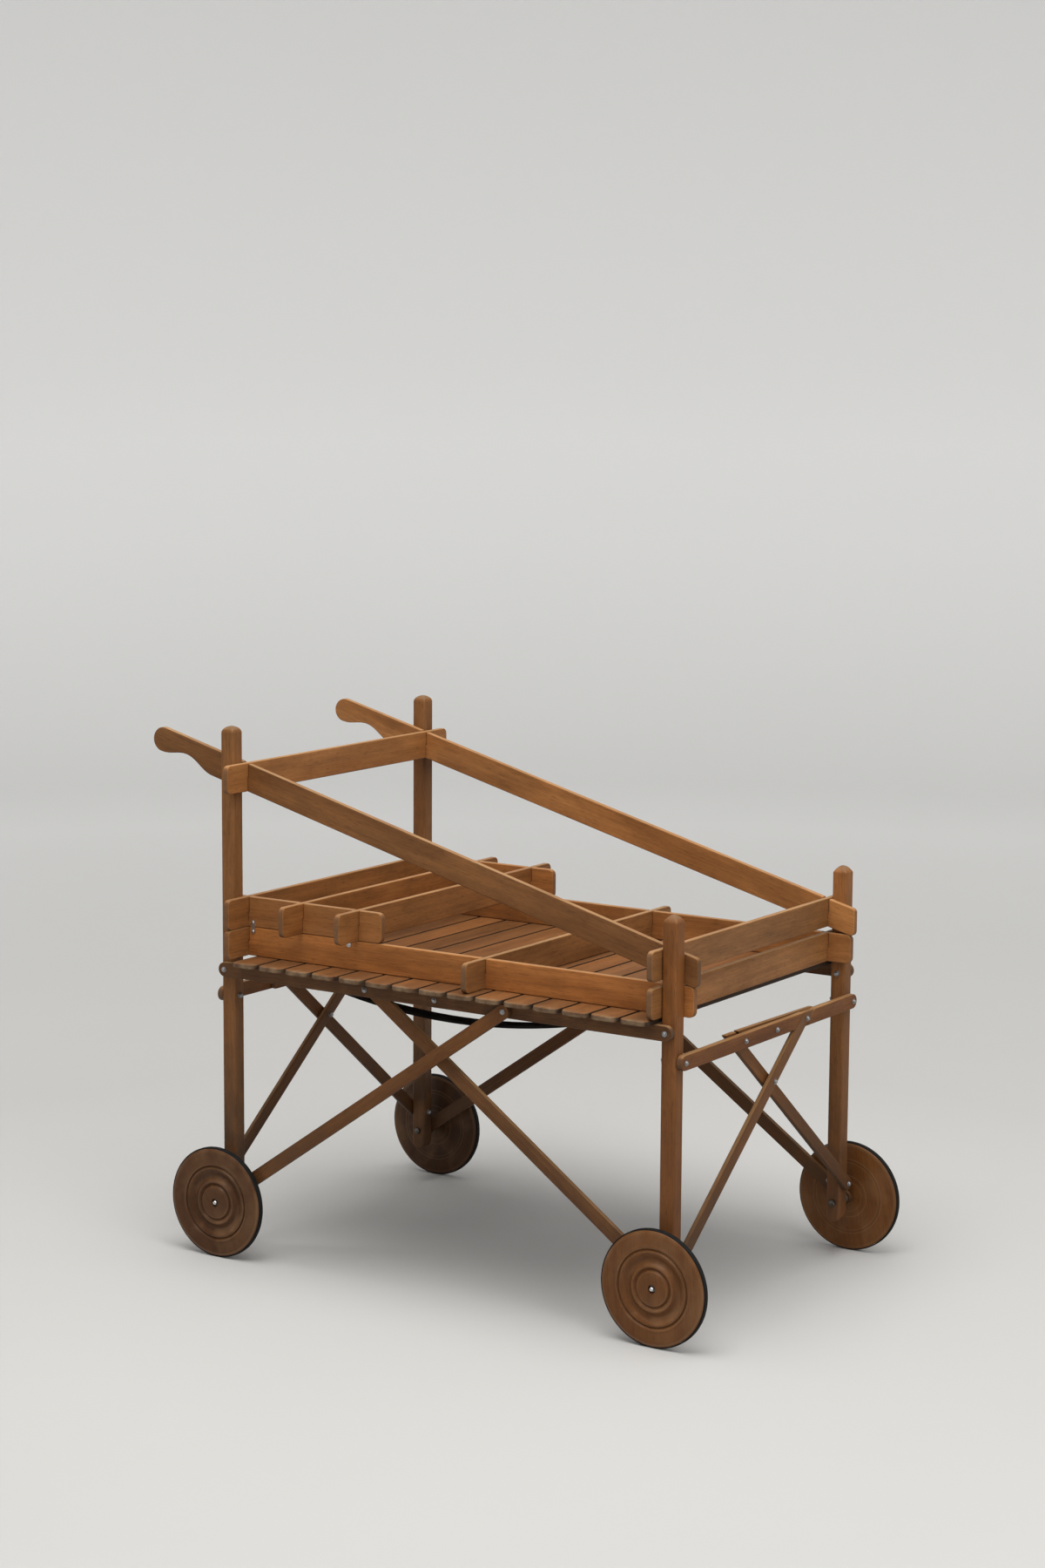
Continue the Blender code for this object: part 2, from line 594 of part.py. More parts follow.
def add_end_rail(wagon, end, end_name, parent):
    """The rail across an end frame, with a notch in its face for the outer lath's head."""
    name = "end_rail_" + end_name
    half = END_RAIL_DEPTH / 2
    outline = arc_points((HALF_TRACK, 0), half, -0.5 * math.pi, 0.5 * math.pi, ROUND_STEPS)
    outline += arc_points((-HALF_TRACK, 0), half, 0.5 * math.pi, 1.5 * math.pi, ROUND_STEPS)
    mesh = mesh_from_outline(name, [outline], END_RAIL_THICKNESS, END_TURN)
    mesh.materials.append(wagon.materials["lath_wood"])
    rail = bpy.data.objects.new(name, mesh)
    wagon.parts.objects.link(rail)
    middle_x = end * (RAIL_BACK_X + END_RAIL_THICKNESS / 2)
    wagon.hang(rail, parent, Vector((middle_x, 0, END_RAIL_HEIGHT)))

    foot, head = outer_end_lath_line(end)
    turn = lath_turn(foot, head, Vector((1, 0, 0)))
    reach = END_RAIL_DEPTH + LATH_WIDTH
    across = LATH_WIDTH / 2 + FIT_GAP
    slot = [(-reach, -across), (reach, -across), (reach, across), (-reach, across)]
    depth = LATH_THICKNESS + FIT_GAP + CUTTER_OVERRUN
    cutter_mesh = mesh_from_outline(name + "_notch_cutter", [slot], depth, turn)
    outwards = turn @ Vector((0, 0, end * (CUTTER_OVERRUN - FIT_GAP) / 2))
    cutter = add_cutter(wagon, name + "_notch_cutter", cutter_mesh, parent, head + outwards)
    shape_with(rail, cutter, "DIFFERENCE")


def add_end_braces(wagon, end, end_name, parent):
    """The two crossed laths of an end frame: one let into its rail's face, one behind it."""
    half = LATH_THICKNESS / 2
    flush = END_RAIL_DEPTH / 2
    foot, head = outer_end_lath_line(end)
    add_end_lath(wagon, f"end_brace_{end_name}_outer", parent, foot, head, flush)
    foot = turned_about(end, POST_OUTER_X + SEAT_GAP + half, HALF_TRACK, END_LATH_FOOT_HEIGHT)
    head = turned_about(end, RAIL_BACK_X - INNER_END_LATH_SETBACK - half, -INNER_END_LATH_OFFSET,
                        END_RAIL_HEIGHT)
    add_end_lath(wagon, f"end_brace_{end_name}_inner", parent, foot, head,
                 flush + INNER_END_LATH_RISE)


def add_packer(wagon, end, end_name, parent):
    """The strip behind an end rail that fills the space beside the inner lath's head."""
    rise = END_RAIL_HEIGHT - END_LATH_FOOT_HEIGHT
    run = HALF_TRACK + INNER_END_LATH_OFFSET
    slant = run / rise
    edge = -INNER_END_LATH_OFFSET + LATH_WIDTH / 2 * math.hypot(run, rise) / rise + SEAT_GAP
    high = END_RAIL_DEPTH / 2
    tip_height = high + PACKER_RISE
    tip = (edge - slant * tip_height, tip_height)
    low_corner, top_corner = (PACKER_END_OFFSET, -high), (PACKER_END_OFFSET, high)
    outline = [tip, (edge + slant * high, -high)]
    outline += corner_points(outline[-1], low_corner, top_corner, PACKER_CORNER_RADIUS)
    outline += corner_points(low_corner, top_corner, tip, PACKER_CORNER_RADIUS)
    outline = [(end * across, up) for across, up in outline]
    x = end * (RAIL_BACK_X - FIT_GAP - LATH_THICKNESS / 2)
    flat_piece(wagon, "end_packer_" + end_name, [outline], LATH_THICKNESS, parent,
               Vector((x, 0, END_RAIL_HEIGHT)), END_TURN, "lath_wood")


def outer_lath_line(end):
    """Foot and head of the straight side lath on the bearer's outer face."""
    out = BEARER_OUTER_Y + OUTER_LATH_WASHER + LATH_THICKNESS / 2
    foot = turned_about(end, HALF_SPAN, out, WHEEL_RADIUS)
    head = turned_about(end, -SIDE_LATH_HEAD_X, out, PIVOT_HEIGHT)
    return foot, head


def inner_lath_line(end):
    """Foot and head of the side lath that slants in behind the bearer."""
    foot_out = POST_OUTER_Y + INNER_LATH_BASE + LATH_THICKNESS / 2
    head_out = BEARER_INNER_Y - INNER_LATH_BACKSET - LATH_THICKNESS / 2
    foot = turned_about(end, HALF_SPAN, -foot_out, WHEEL_RADIUS)
    head = turned_about(end, -SIDE_LATH_HEAD_X, -head_out, PIVOT_HEIGHT)
    return foot, head


def inner_lath_axis(end):
    """The hinge axis of the slanted lath: tipped a little, so that it swings clear of the posts."""
    foot, head = inner_lath_line(end)
    along = (head - foot).normalized()
    swing = Vector((-end * along.z, -end * INNER_SWING_TILT, along.x * end))
    swing = (swing - along * swing.dot(along)).normalized()
    return along.cross(swing)


def add_side_braces(wagon, end, end_name, parent):
    """The two side laths that pivot on this end's axles; their heads are unbolted for folding."""
    outer_side, inner_side = ("far", "near") if end > 0 else ("near", "far")
    foot, head = outer_lath_line(end)
    add_side_lath(wagon, f"side_brace_{outer_side}_outer", parent, foot, head, Vector((0, -1, 0)))
    foot, head = inner_lath_line(end)
    add_side_lath(wagon, f"side_brace_{inner_side}_inner", parent, foot, head, inner_lath_axis(end))


def wheel_profile():
    face = [(WOOD_RADIUS * r, WHEEL_THICKNESS - GROOVE_DEPTH * d) for r, d in WHEEL_FACE_SHARES]
    rim_back = [(WOOD_RADIUS, GROOVE_DEPTH / 2), (WOOD_RADIUS - GROOVE_DEPTH / 2, 0)]
    hub = [(BORE_RADIUS, 0), (BORE_RADIUS, WHEEL_THICKNESS - HUB_RECESS_DEPTH),
           (HUB_RECESS_RADIUS, WHEEL_THICKNESS - HUB_RECESS_DEPTH), (HUB_RECESS_RADIUS, WHEEL_THICKNESS)]
    return list(reversed(hub + face + rim_back))


def tyre_profile():
    inner = WHEEL_RADIUS - TYRE_THICKNESS
    low = (WHEEL_THICKNESS - TYRE_WIDTH) / 2
    high = low + TYRE_WIDTH
    return [(inner, low), (WHEEL_RADIUS - TYRE_EDGE, low), (WHEEL_RADIUS, low + TYRE_EDGE),
            (WHEEL_RADIUS, high - TYRE_EDGE), (WHEEL_RADIUS - TYRE_EDGE, high), (inner, high)]


def axle_profile(lath_in, lath_out):
    """A bolt from the post's inner face to the domed cap, with its spacing collars."""
    inner = -POST_WIDTH - FIT_GAP
    collar_end = WHEEL_STANDOFF - RUNNING_GAP
    cap_base = WHEEL_STANDOFF + WHEEL_THICKNESS - HUB_RECESS_DEPTH + RUNNING_GAP
    profile = [(0, inner - AXLE_HEAD_HEIGHT), (AXLE_HEAD_RADIUS, inner - AXLE_HEAD_HEIGHT),
               (AXLE_HEAD_RADIUS, inner), (AXLE_RADIUS, inner), (AXLE_RADIUS, FIT_GAP),
               (COLLAR_RADIUS, FIT_GAP), (COLLAR_RADIUS, lath_in), (AXLE_RADIUS, lath_in),
               (AXLE_RADIUS, lath_out), (COLLAR_RADIUS, lath_out), (COLLAR_RADIUS, collar_end),
               (AXLE_RADIUS, collar_end), (AXLE_RADIUS, cap_base)]
    for step in range(CORNER_STEPS + 2):
        angle = 0.5 * math.pi * step / (CORNER_STEPS + 1)
        profile.append((CAP_RADIUS * math.cos(angle), cap_base + CAP_RISE * math.sin(angle)))
    return profile[:-1] + [(0, cap_base + CAP_RISE)]


def lath_collar_faces(outer):
    """Where the collars end on each side of a lath, out from the post's face."""
    if outer:
        lath_in = BEARER_OUTER_Y + OUTER_LATH_WASHER - POST_OUTER_Y
    else:
        lath_in = INNER_LATH_BASE
    return lath_in - EYE_CLEARANCE, lath_in + LATH_THICKNESS + EYE_CLEARANCE


def add_corner(wagon, end, end_name, side, side_name, frame):
    """The post, axle, wheel and tyre at one corner."""
    if end > 0:
        top, rise, pointed = FRONT_POST_TOP, FRONT_POINT_RISE, True
    else:
        top, rise, pointed = REAR_POST_TOP, REAR_DOME_RISE, False
    name = f"{end_name}_{side_name}"
    x, y = end * HALF_SPAN, side * HALF_TRACK
    add_post(wagon, "post_" + name, frame, x, y, top, rise, pointed)
    outer = end == side
    lath_in, lath_out = lath_collar_faces(outer)
    face = Vector((x, side * POST_OUTER_Y, WHEEL_RADIUS))
    turned_piece(wagon, "axle_" + name, axle_profile(lath_in, lath_out), False, AXLE_STEPS, frame,
                 face, side, "axle_steel")
    hub = Vector((x, side * WHEEL_INNER_Y, WHEEL_RADIUS))
    wagon.add_frame_empty("spin_" + name, hub, frame)
    turned_piece(wagon, "wheel_" + name, wheel_profile(), True, WHEEL_STEPS, "spin_" + name, hub,
                 side, "wheel_wood")
    turned_piece(wagon, "tyre_" + name, tyre_profile(), True, WHEEL_STEPS, "spin_" + name, hub,
                 side, "tyre_rubber")


def add_leg_frame(wagon, end, end_name):
    """Two posts, their rail and crossed laths, and all that folds with them."""
    frame = end_name + "_frame"
    wagon.add_frame_empty(frame, Vector((end * HALF_SPAN, 0, PIVOT_HEIGHT)))
    for side, side_name in ((-1, "near"), (1, "far")):
        add_corner(wagon, end, end_name, side, side_name, frame)
    add_end_rail(wagon, end, end_name, frame)
    add_end_braces(wagon, end, end_name, frame)
    add_packer(wagon, end, end_name, frame)
    add_side_braces(wagon, end, end_name, frame)


def main():
    clear_scene()
    wagon = Wagon()
    add_bearers(wagon)
    add_slats(wagon)
    add_strap(wagon)
    add_crate(wagon)
    add_tray(wagon)
    add_handle_frame(wagon)
    add_leg_frame(wagon, -1, "rear")
    add_leg_frame(wagon, 1, "front")
    bpy.context.view_layer.update()


if __name__ == "__main__":
    main()
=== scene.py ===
"""Looks of the folding wagon: oiled beech, turned wheels, rubber, zinc bolts, webbing and the studio.

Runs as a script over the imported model, which gives every size and place. Metres, +Z up.
"""

import math

import bmesh
import bpy
import numpy as np
from mathutils import Matrix, Vector


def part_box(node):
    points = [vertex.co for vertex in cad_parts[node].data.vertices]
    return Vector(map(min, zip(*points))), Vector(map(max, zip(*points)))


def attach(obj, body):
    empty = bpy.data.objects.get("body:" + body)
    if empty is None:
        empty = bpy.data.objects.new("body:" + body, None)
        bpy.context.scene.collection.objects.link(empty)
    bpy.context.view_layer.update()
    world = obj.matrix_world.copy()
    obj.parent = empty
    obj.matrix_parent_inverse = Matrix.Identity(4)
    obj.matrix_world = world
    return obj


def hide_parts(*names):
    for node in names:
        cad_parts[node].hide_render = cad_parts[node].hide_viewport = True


bl_info = {
    "name": "Folding wagon looks",
    "version": (1, 0, 0),
    "blender": (4, 5, 0),
    "location": "3D View > Sidebar > Wagon",
    "description": "Wood, metal, rubber and webbing finishes with the small fittings of a folding wagon",
    "category": "Object",
}

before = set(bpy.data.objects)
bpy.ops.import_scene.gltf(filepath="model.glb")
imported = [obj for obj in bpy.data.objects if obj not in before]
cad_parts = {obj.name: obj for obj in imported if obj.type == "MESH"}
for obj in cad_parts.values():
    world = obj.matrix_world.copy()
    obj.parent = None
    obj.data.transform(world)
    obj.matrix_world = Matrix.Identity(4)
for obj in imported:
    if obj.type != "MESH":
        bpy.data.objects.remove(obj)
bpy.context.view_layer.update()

NEAR, FAR = -1, 1
REAR, FRONT = -1, 1
END_NAMES = {REAR: "rear", FRONT: "front"}
SIDE_NAMES = {NEAR: "near", FAR: "far"}
CORNERS = [(end, side) for end in (REAR, FRONT) for side in (NEAR, FAR)]
LATH_HALF_WIDTH = 0.012
LEVEL_CUT_SLACK = 0.0005
SEAT_GAP = 0.0002
COVER_EDGE = 0.002
WELD_REACH = 0.00001
UNMOVED = Matrix.Identity(4)

# Steps of curves and rounded corners, and facets round turned pieces
SLAT_CORNER_STEPS, POST_CORNER_STEPS, POST_FOOT_STEPS, TYRE_STEPS = 7, 5, 7, 5
CLIP_END_STEPS, STRAP_EDGE_STEPS, FACE_STEPS, STRAP_STEPS, BEND_STEPS = 8, 4, 4, 4, 8
CAP_FACETS, SPACER_FACETS, SHANK_FACETS, HEAD_FACETS = 40, 32, 24, 28
SMALL_FACETS, STRAP_SCREW_FACETS, BACKDROP_FACETS = 16, 20, 96

# Tones of wear and dirt, and of painted shade and painted highlights
RUBBED_WOOD = (0.440, 0.262, 0.120)
SCUFFED_WOOD = (0.300, 0.165, 0.080)
# Painted highlight on the wheels' crests
CREST_HIGHLIGHT_WOOD = (0.380, 0.215, 0.110)
END_GRAIN_PALE = (0.135, 0.084, 0.050)
END_GRAIN_DARK = (0.060, 0.034, 0.020)
# Painted shade on the undersides of boards
UNDERSIDE_SHADE = (0.055, 0.030, 0.015)
# Painted shade in the gaps between slats
SLAT_GAP_SHADE = (0.026, 0.015, 0.009)
# Painted shade low down under the deck, with dirt
LOW_SHADE_AND_DIRT = (0.062, 0.033, 0.017)
# Painted shade with grime in the wheels' grooves
GROOVE_SHADE_AND_GRIME = (0.045, 0.021, 0.010)
RUST = (0.16, 0.09, 0.05)
CHROME_HAZE = (0.55, 0.55, 0.55)
RUBBER_SCUFF = (0.022, 0.020, 0.018)
# Painted shade with old grease at the bottom of the cap recesses
SHADE_AND_GREASE_DARK, SHADE_AND_GREASE_PALE = (0.020, 0.013, 0.008), (0.060, 0.032, 0.016)
WEBBING_BLACK, WEBBING_FADED = (0.008, 0.007, 0.006), (0.016, 0.015, 0.014)
WEBBING_CREST = (0.024, 0.023, 0.022)

# How fast fine patterns repeat: radians per metre of webbing, and per wood radius of a wheel
RIB_PACE, CORD_PACE, TOOL_MARK_PACE = 3600.0, 2900.0, 520.0

# Each metal's dulled tone, and its bright tone where the panel doesn't set it
ZINC_DULLED = (0.26, 0.26, 0.26)
STEEL_TONE, STEEL_DULLED = (0.16, 0.15, 0.14), (0.07, 0.055, 0.045)
CLIP_TONE, CLIP_DULLED = (0.66, 0.67, 0.68), (0.48, 0.48, 0.48)

# How much most surfaces shine, and the two that shine less
SATIN_SHINE, RUBBER_SHINE, WEBBING_SHINE = 0.22, 0.15, 0.12

# What board_finish is told of each kind of piece, and of single pieces that differ from their kind; a shade
# sets the piece's tone together with painted light and shade
SEED_STEP = 0.618
KIND_FINISHES = {
    "post": {"tone_and_light": 0.65, "shaded_and_soiled_below": 0.56},
    "slat": {"tone_and_light": 0.56, "rubbing": 0.06, "weathered": 0.7, "redness": 0.28},
    "bearer": {"tone_and_light": 0.32, "redness": 0.16},
    "end_rail": {"tone_and_light": 0.54, "redness": 0.28},
    "end_packer": {"tone_and_light": 0.54, "redness": 0.28},
    "end_brace": {"tone_and_light": 0.47, "shaded_and_soiled_below": 0.40, "redness": 0.20},
    "side_brace": {"tone_and_light": 0.47, "shaded_and_soiled_below": 0.40, "redness": 0.20},
    "crate_board": {"redness": 0.20},
    "crate_cross": {"redness": 0.06},
    "tray": {"redness": 0.20},
    "handle": {"redness": 0.06},
}
PIECE_FINISHES = {
    "post_rear_near": {"shade_and_soiling": 0.95, "redness": 0.12},
    "post_rear_far": {"shade_and_soiling": 0.90, "redness": 0.16},
    "post_front_near": {"shade_and_soiling": 0.30, "redness": 0.24},
    "post_front_far": {"shade_and_soiling": 0.60, "redness": 0.22},
    "handle_rail_near": {"tone_and_light": 0.56, "redness": 0.20},
    "handle_rail_far": {"tone_and_light": 1.22},
    "handle_cross_rear": {"tone_and_light": 1.08},
    "handle_cross_front": {"tone_and_light": 0.70},
    "crate_board_near": {"tone_and_light": 1.32, "covered_to": "tray_cross_3"},
    "crate_board_far": {"tone_and_light": 1.10, "covered_to": "tray_cross_3"},
    "crate_cross_middle": {"tone_and_light": 0.90},
    "crate_cross_front": {"tone_and_light": 0.72},
    "tray_board_near": {"tone_and_light": 0.90},
    "tray_cross_1": {"tone_and_light": 0.86},
    "tray_cross_2": {"tone_and_light": 0.86},
    "tray_cross_3": {"tone_and_light": 0.80},
}
WHEEL_TINT = (1.0, 0.84, 0.62)
# Each wheel's tone, darkened by painted shade for the wheels that stand in shadow
WHEEL_TONES_AND_SHADE = {(REAR, NEAR): 0.24, (FRONT, NEAR): 0.44, (REAR, FAR): 0.17, (FRONT, FAR): 0.46}

# Slats: how far their corners are worn round, their arris, and how far out their ends turn pale
SLAT_CORNER, SLAT_CORNER_VARIES = 0.0125, 0.0025
SLAT_EDGE = 0.0020
SLAT_ENDS_FROM, SLAT_ENDS_TO = 0.330, 0.350

# Posts: soft arrises, and the outlines of their tops as shares of half the width and of the rise
POST_ARRIS, POST_ARRIS_LIMIT_SHARE = 0.0042, 0.98
POST_FOOT = 0.013
POST_TOP_RISE = 0.0125
REAR_DOME = [(math.cos(math.radians(7.5 * step)), math.sin(math.radians(7.5 * step))) for step in range(12)]
FRONT_POINT = ((1.0, 0.0), (0.985, 0.08), (0.93, 0.20), (0.78, 0.45), (0.60, 0.70), (0.44, 0.86),
               (0.28, 0.95), (0.12, 1.0))

# Wheels and tyres
BORE_RADIUS = 0.0052
RIM_ROUND = 0.0026
RIM_ANGLES = (0.0, 0.4, 0.8, 1.2, math.pi / 2)
TYRE_SHOULDER_SHARE = 0.95

# Painted shade with grime in the grooves of a turned face, and painted highlights on its crests, each as
# (share of the wood's radius, strength)
GROOVE_SHADE_AND_GRIME_STOPS = ((0.075, 0.9), (0.110, 0.30), (0.290, 0.08), (0.318, 0.85), (0.340, 0.80), (0.372, 0.12),
               (0.420, 0.25), (0.500, 0.50), (0.570, 0.22), (0.635, 0.06), (0.662, 0.85), (0.682, 0.80),
               (0.710, 0.10), (0.900, 0.06), (0.970, 0.45), (1.0, 0.7))
CREST_HIGHLIGHT_STOPS = ((0.270, 0.0), (0.292, 0.6), (0.306, 0.0), (0.378, 0.0), (0.392, 0.8), (0.410, 0.0),
               (0.632, 0.0), (0.645, 0.9), (0.655, 0.0), (0.688, 0.0), (0.702, 0.9), (0.722, 0.0),
               (0.930, 0.0), (0.965, 0.7), (0.990, 0.3), (1.0, 0.0))

# Turned face of a wheel, as shares of the wood's radius and of the groove depth, from hub to rim
FACE_RADIUS_SHARES = (0.075, 0.270, 0.296, 0.312, 0.328, 0.344, 0.364, 0.386, 0.408, 0.432, 0.466,
                      0.505, 0.550, 0.592, 0.616, 0.632, 0.647, 0.661, 0.673, 0.686, 0.702, 0.760,
                      0.880, 0.940, 0.972, 0.990, 1.000)
FACE_DEPTH_SHARES = (0.00, 0.00, 0.06, 0.36, 0.62, 0.46, 0.16, 0.05, 0.16, 0.50, 0.92,
                     1.00, 0.70, 0.24, 0.09, 0.05, 0.16, 0.44, 0.58, 0.36, 0.07, 0.00,
                     0.00, 0.05, 0.16, 0.30, 0.50)

# Axle bolts: cap, shank, hexagon head, spacers, and how far the cap sits inside the bolt's reach
CAP_SINK, CAP_FOOT, CAP_NECK = 0.0082, 0.0005, 0.0022
CAP_RADIUS, CAP_BALL_RADIUS, CAP_BALL_RISE = 0.0044, 0.0043, 0.0044
SHANK_RADIUS, SHANK_INSET = 0.0049, 0.001
AXLE_HEAD_FLATS, AXLE_HEAD_HEIGHT = 0.0115, 0.0047
SPACER_RADIUS, SPACER_HOLE, SPACER_THICKNESS, SPACER_FILL_SHARE = 0.0094, 0.0046, 0.0026, 0.97
POST_GAP, LATH_GAP = 0.0003, 0.0006
RECESS_LOW, RECESS_HIGH = 0.0009, 0.0006

# Bolts, nuts and washers, all standing on the wood at height 0
WASHER_THICKNESS, WASHER_HOLE = 0.0009, 0.002
HEAD_BASE, HEAD_SHOULDER, HEAD_DOME_RISE, HEAD_DOME_SHARE = 0.0008, 0.0018, 0.0026, 0.96
NUT_FLATS, NUT_HEIGHT = 0.0088, 0.0040
STUB_PROFILE = ((0, 0), (0.0026, 0), (0.0026, 0.0062), (0.0020, 0.0070), (0, 0.0070))
HEX_RIM_SHARE, HEX_TOP_SHARE = 0.86, 0.84

# Tray clips: a plate with round ends and two screws, and how far beside its cross board each sits
CLIP_HALF_WIDTH, CLIP_HALF_LENGTH, CLIP_THICKNESS = 0.0045, 0.0125, 0.0009
CLIP_SCREW_RADIUS, CLIP_SCREW_RISE = 0.0026, 0.0011
CLIP_OFFSETS = {"tray_cross_1": 0.01495, "tray_cross_3": -0.0156}

# Strap: the visible band inside its solid, its slight roll, its two layers and its end screws
STRAP_THICKNESS, STRAP_WIDTH_SHARE = 0.0064, 0.94
STRAP_ROLL, STRAP_ROLL_PER_METRE, STRAP_ROLL_START = 0.05, 6.0, 1.0
STRAP_EDGE_SHARE, STRAP_EDGE_STRETCH = 0.30, 1.15
COLUMN_SLACK = 0.0006
STRAP_SCREW_RADIUS, STRAP_SCREW_RISE, STRAP_SCREW_INSET = 0.0042, 0.0016, 0.010

# The photo's camera: degrees, radians, pixels of the frame's long side, and metres
PHOTO_AZIMUTH, PHOTO_ELEVATION, PHOTO_ROLL = 33.38, 8.172, 0.00613
PHOTO_FOCAL_PIXELS, PHOTO_LONG_SIDE = 3645.5, 1800
PHOTO_DISTANCE, PHOTO_AIM_HEIGHT, PHOTO_AIM_SHIFT = 5.632, 0.8515, -0.0329
SENSOR_WIDTH = 36.0

# Studio: lamps as place, aim, size and tone, and the backdrop's floor radius, bend and top
KEY_LAMP = ((0.5, -1.0, 4.7), (0, 0, 0.4), (3.8, 3.8), (1.0, 0.98, 0.95))
FILL_LAMP = ((4.2, -1.6, 3.0), (0, 0, 0.5), (3.0, 3.0), (0.95, 0.97, 1.0))
FLOOR_RADIUS, FLOOR_BEND, WALL_TOP = 6.0, 1.5, 5.0
FLOOR_CLOUD_SHARE = 0.965
DAYLIGHT_TONE = (1.0, 0.99, 0.98, 1.0)


def middle(node):
    low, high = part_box(node)
    return (low + high) / 2


def x_face(node, end):
    """Where the face that looks to one end lies."""
    low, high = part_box(node)
    return low.x if end < 0 else high.x


def y_face(node, side):
    """Where the face that looks to one side lies."""
    low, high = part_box(node)
    return low.y if side < 0 else high.y


def corner_name(end, side):
    return f"{END_NAMES[end]}_{SIDE_NAMES[side]}"


def vertices(node):
    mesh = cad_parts[node].data
    places = np.empty(len(mesh.vertices) * 3)
    mesh.vertices.foreach_get("co", places)
    return places.reshape(-1, 3)


def long_axes(node):
    """The piece's own directions, longest first, from the spread of its points."""
    points = vertices(node)
    points = points - points.mean(axis=0)
    spread, directions = np.linalg.eigh(points.T @ points)
    along = Vector(directions[:, 2])
    across = Vector(directions[:, 1])
    return along, across, along.cross(across)


def face_place(node, direction, place):
    """Where a line through a place meets the broad face of a lath that looks in a direction."""
    direction, place = Vector(direction), Vector(place)
    normal = long_axes(node)[2]
    if normal.dot(direction) < 0:
        normal = -normal
    level = float((vertices(node) @ np.array(normal)).max())
    return place + direction * (level - normal.dot(place)) / normal.dot(direction)


class WoodSettings(bpy.types.PropertyGroup):
    light_tone: bpy.props.FloatVectorProperty(
        name="Light tone", description="Colour of the palest wood", subtype="COLOR",
        default=(0.400, 0.182, 0.060), min=0, max=1)
    dark_tone: bpy.props.FloatVectorProperty(
        name="Dark tone", description="Colour of the deepest wood", subtype="COLOR",
        default=(0.295, 0.124, 0.037), min=0, max=1)
    pore_tone: bpy.props.FloatVectorProperty(
        name="Pore tone", description="Colour of pores and growth lines", subtype="COLOR",
        default=(0.100, 0.038, 0.012), min=0, max=1)
    weathered_tone: bpy.props.FloatVectorProperty(
        name="Weathered tone", description="Colour of worn, greyed end grain", subtype="COLOR",
        default=(0.270, 0.185, 0.105), min=0, max=1)
    eased_edge: bpy.props.FloatProperty(
        name="Eased edge", description="Rounding of the boards' edges", subtype="DISTANCE",
        default=0.0018, min=0.0, max=0.003)
    lath_edge: bpy.props.FloatProperty(
        name="Lath edge", description="Rounding of the laths' long edges", subtype="DISTANCE",
        default=0.0026, min=0.0, max=0.004)


class WheelSettings(bpy.types.PropertyGroup):
    groove_depth: bpy.props.FloatProperty(
        name="Groove depth", description="Depth of the turned grooves", subtype="DISTANCE",
        default=0.0062, min=0.001, max=0.008)
    recess_radius: bpy.props.FloatProperty(
        name="Recess radius", description="Radius of the recess round the cap", subtype="DISTANCE",
        default=0.0070, min=0.005, max=0.02)
    turning_steps: bpy.props.IntProperty(
        name="Turning steps", description="Facets round a wheel", default=144, min=48, max=256)
    rubber_width: bpy.props.FloatProperty(
        name="Rubber width", description="Width of the thin tyres", subtype="DISTANCE",
        default=0.0100, min=0.005, max=0.0125)
    rubber_tone: bpy.props.FloatVectorProperty(
        name="Rubber tone", description="Colour of the tyres", subtype="COLOR",
        default=(0.007, 0.007, 0.007), min=0, max=1)


class MetalSettings(bpy.types.PropertyGroup):
    zinc_tone: bpy.props.FloatVectorProperty(
        name="Zinc tone", description="Colour of the zinc-plated bolts", subtype="COLOR",
        default=(0.34, 0.34, 0.35), min=0, max=1)
    chrome_tone: bpy.props.FloatVectorProperty(
        name="Chrome tone", description="Colour of the polished caps", subtype="COLOR",
        default=(0.72, 0.72, 0.73), min=0, max=1)
    bolt_radius: bpy.props.FloatProperty(
        name="Bolt head radius", description="Radius of a domed bolt head", subtype="DISTANCE",
        default=0.0038, min=0.003, max=0.008)
    washer_radius: bpy.props.FloatProperty(
        name="Washer radius", description="Radius of a bolt's washer", subtype="DISTANCE",
        default=0.0050, min=0.004, max=0.01)


class StageSettings(bpy.types.PropertyGroup):
    floor_tone: bpy.props.FloatVectorProperty(
        name="Floor tone", description="Colour of the floor", subtype="COLOR",
        default=(0.54, 0.54, 0.53), min=0, max=1)
    wall_tone: bpy.props.FloatVectorProperty(
        name="Wall tone", description="Colour of the backdrop's wall", subtype="COLOR",
        default=(0.74, 0.74, 0.735), min=0, max=1)
    daylight: bpy.props.FloatProperty(
        name="Daylight", description="Strength of the light from all round", default=0.52, min=0, max=2)
    key_power: bpy.props.FloatProperty(
        name="Key lamp", description="Power of the main lamp", subtype="POWER", default=225, min=0)
    fill_power: bpy.props.FloatProperty(
        name="Fill lamp", description="Power of the filling lamp", subtype="POWER", default=46, min=0)


class WagonLooks(bpy.types.PropertyGroup):
    wood: bpy.props.PointerProperty(type=WoodSettings)
    wheel: bpy.props.PointerProperty(type=WheelSettings)
    metal: bpy.props.PointerProperty(type=MetalSettings)
    stage: bpy.props.PointerProperty(type=StageSettings)


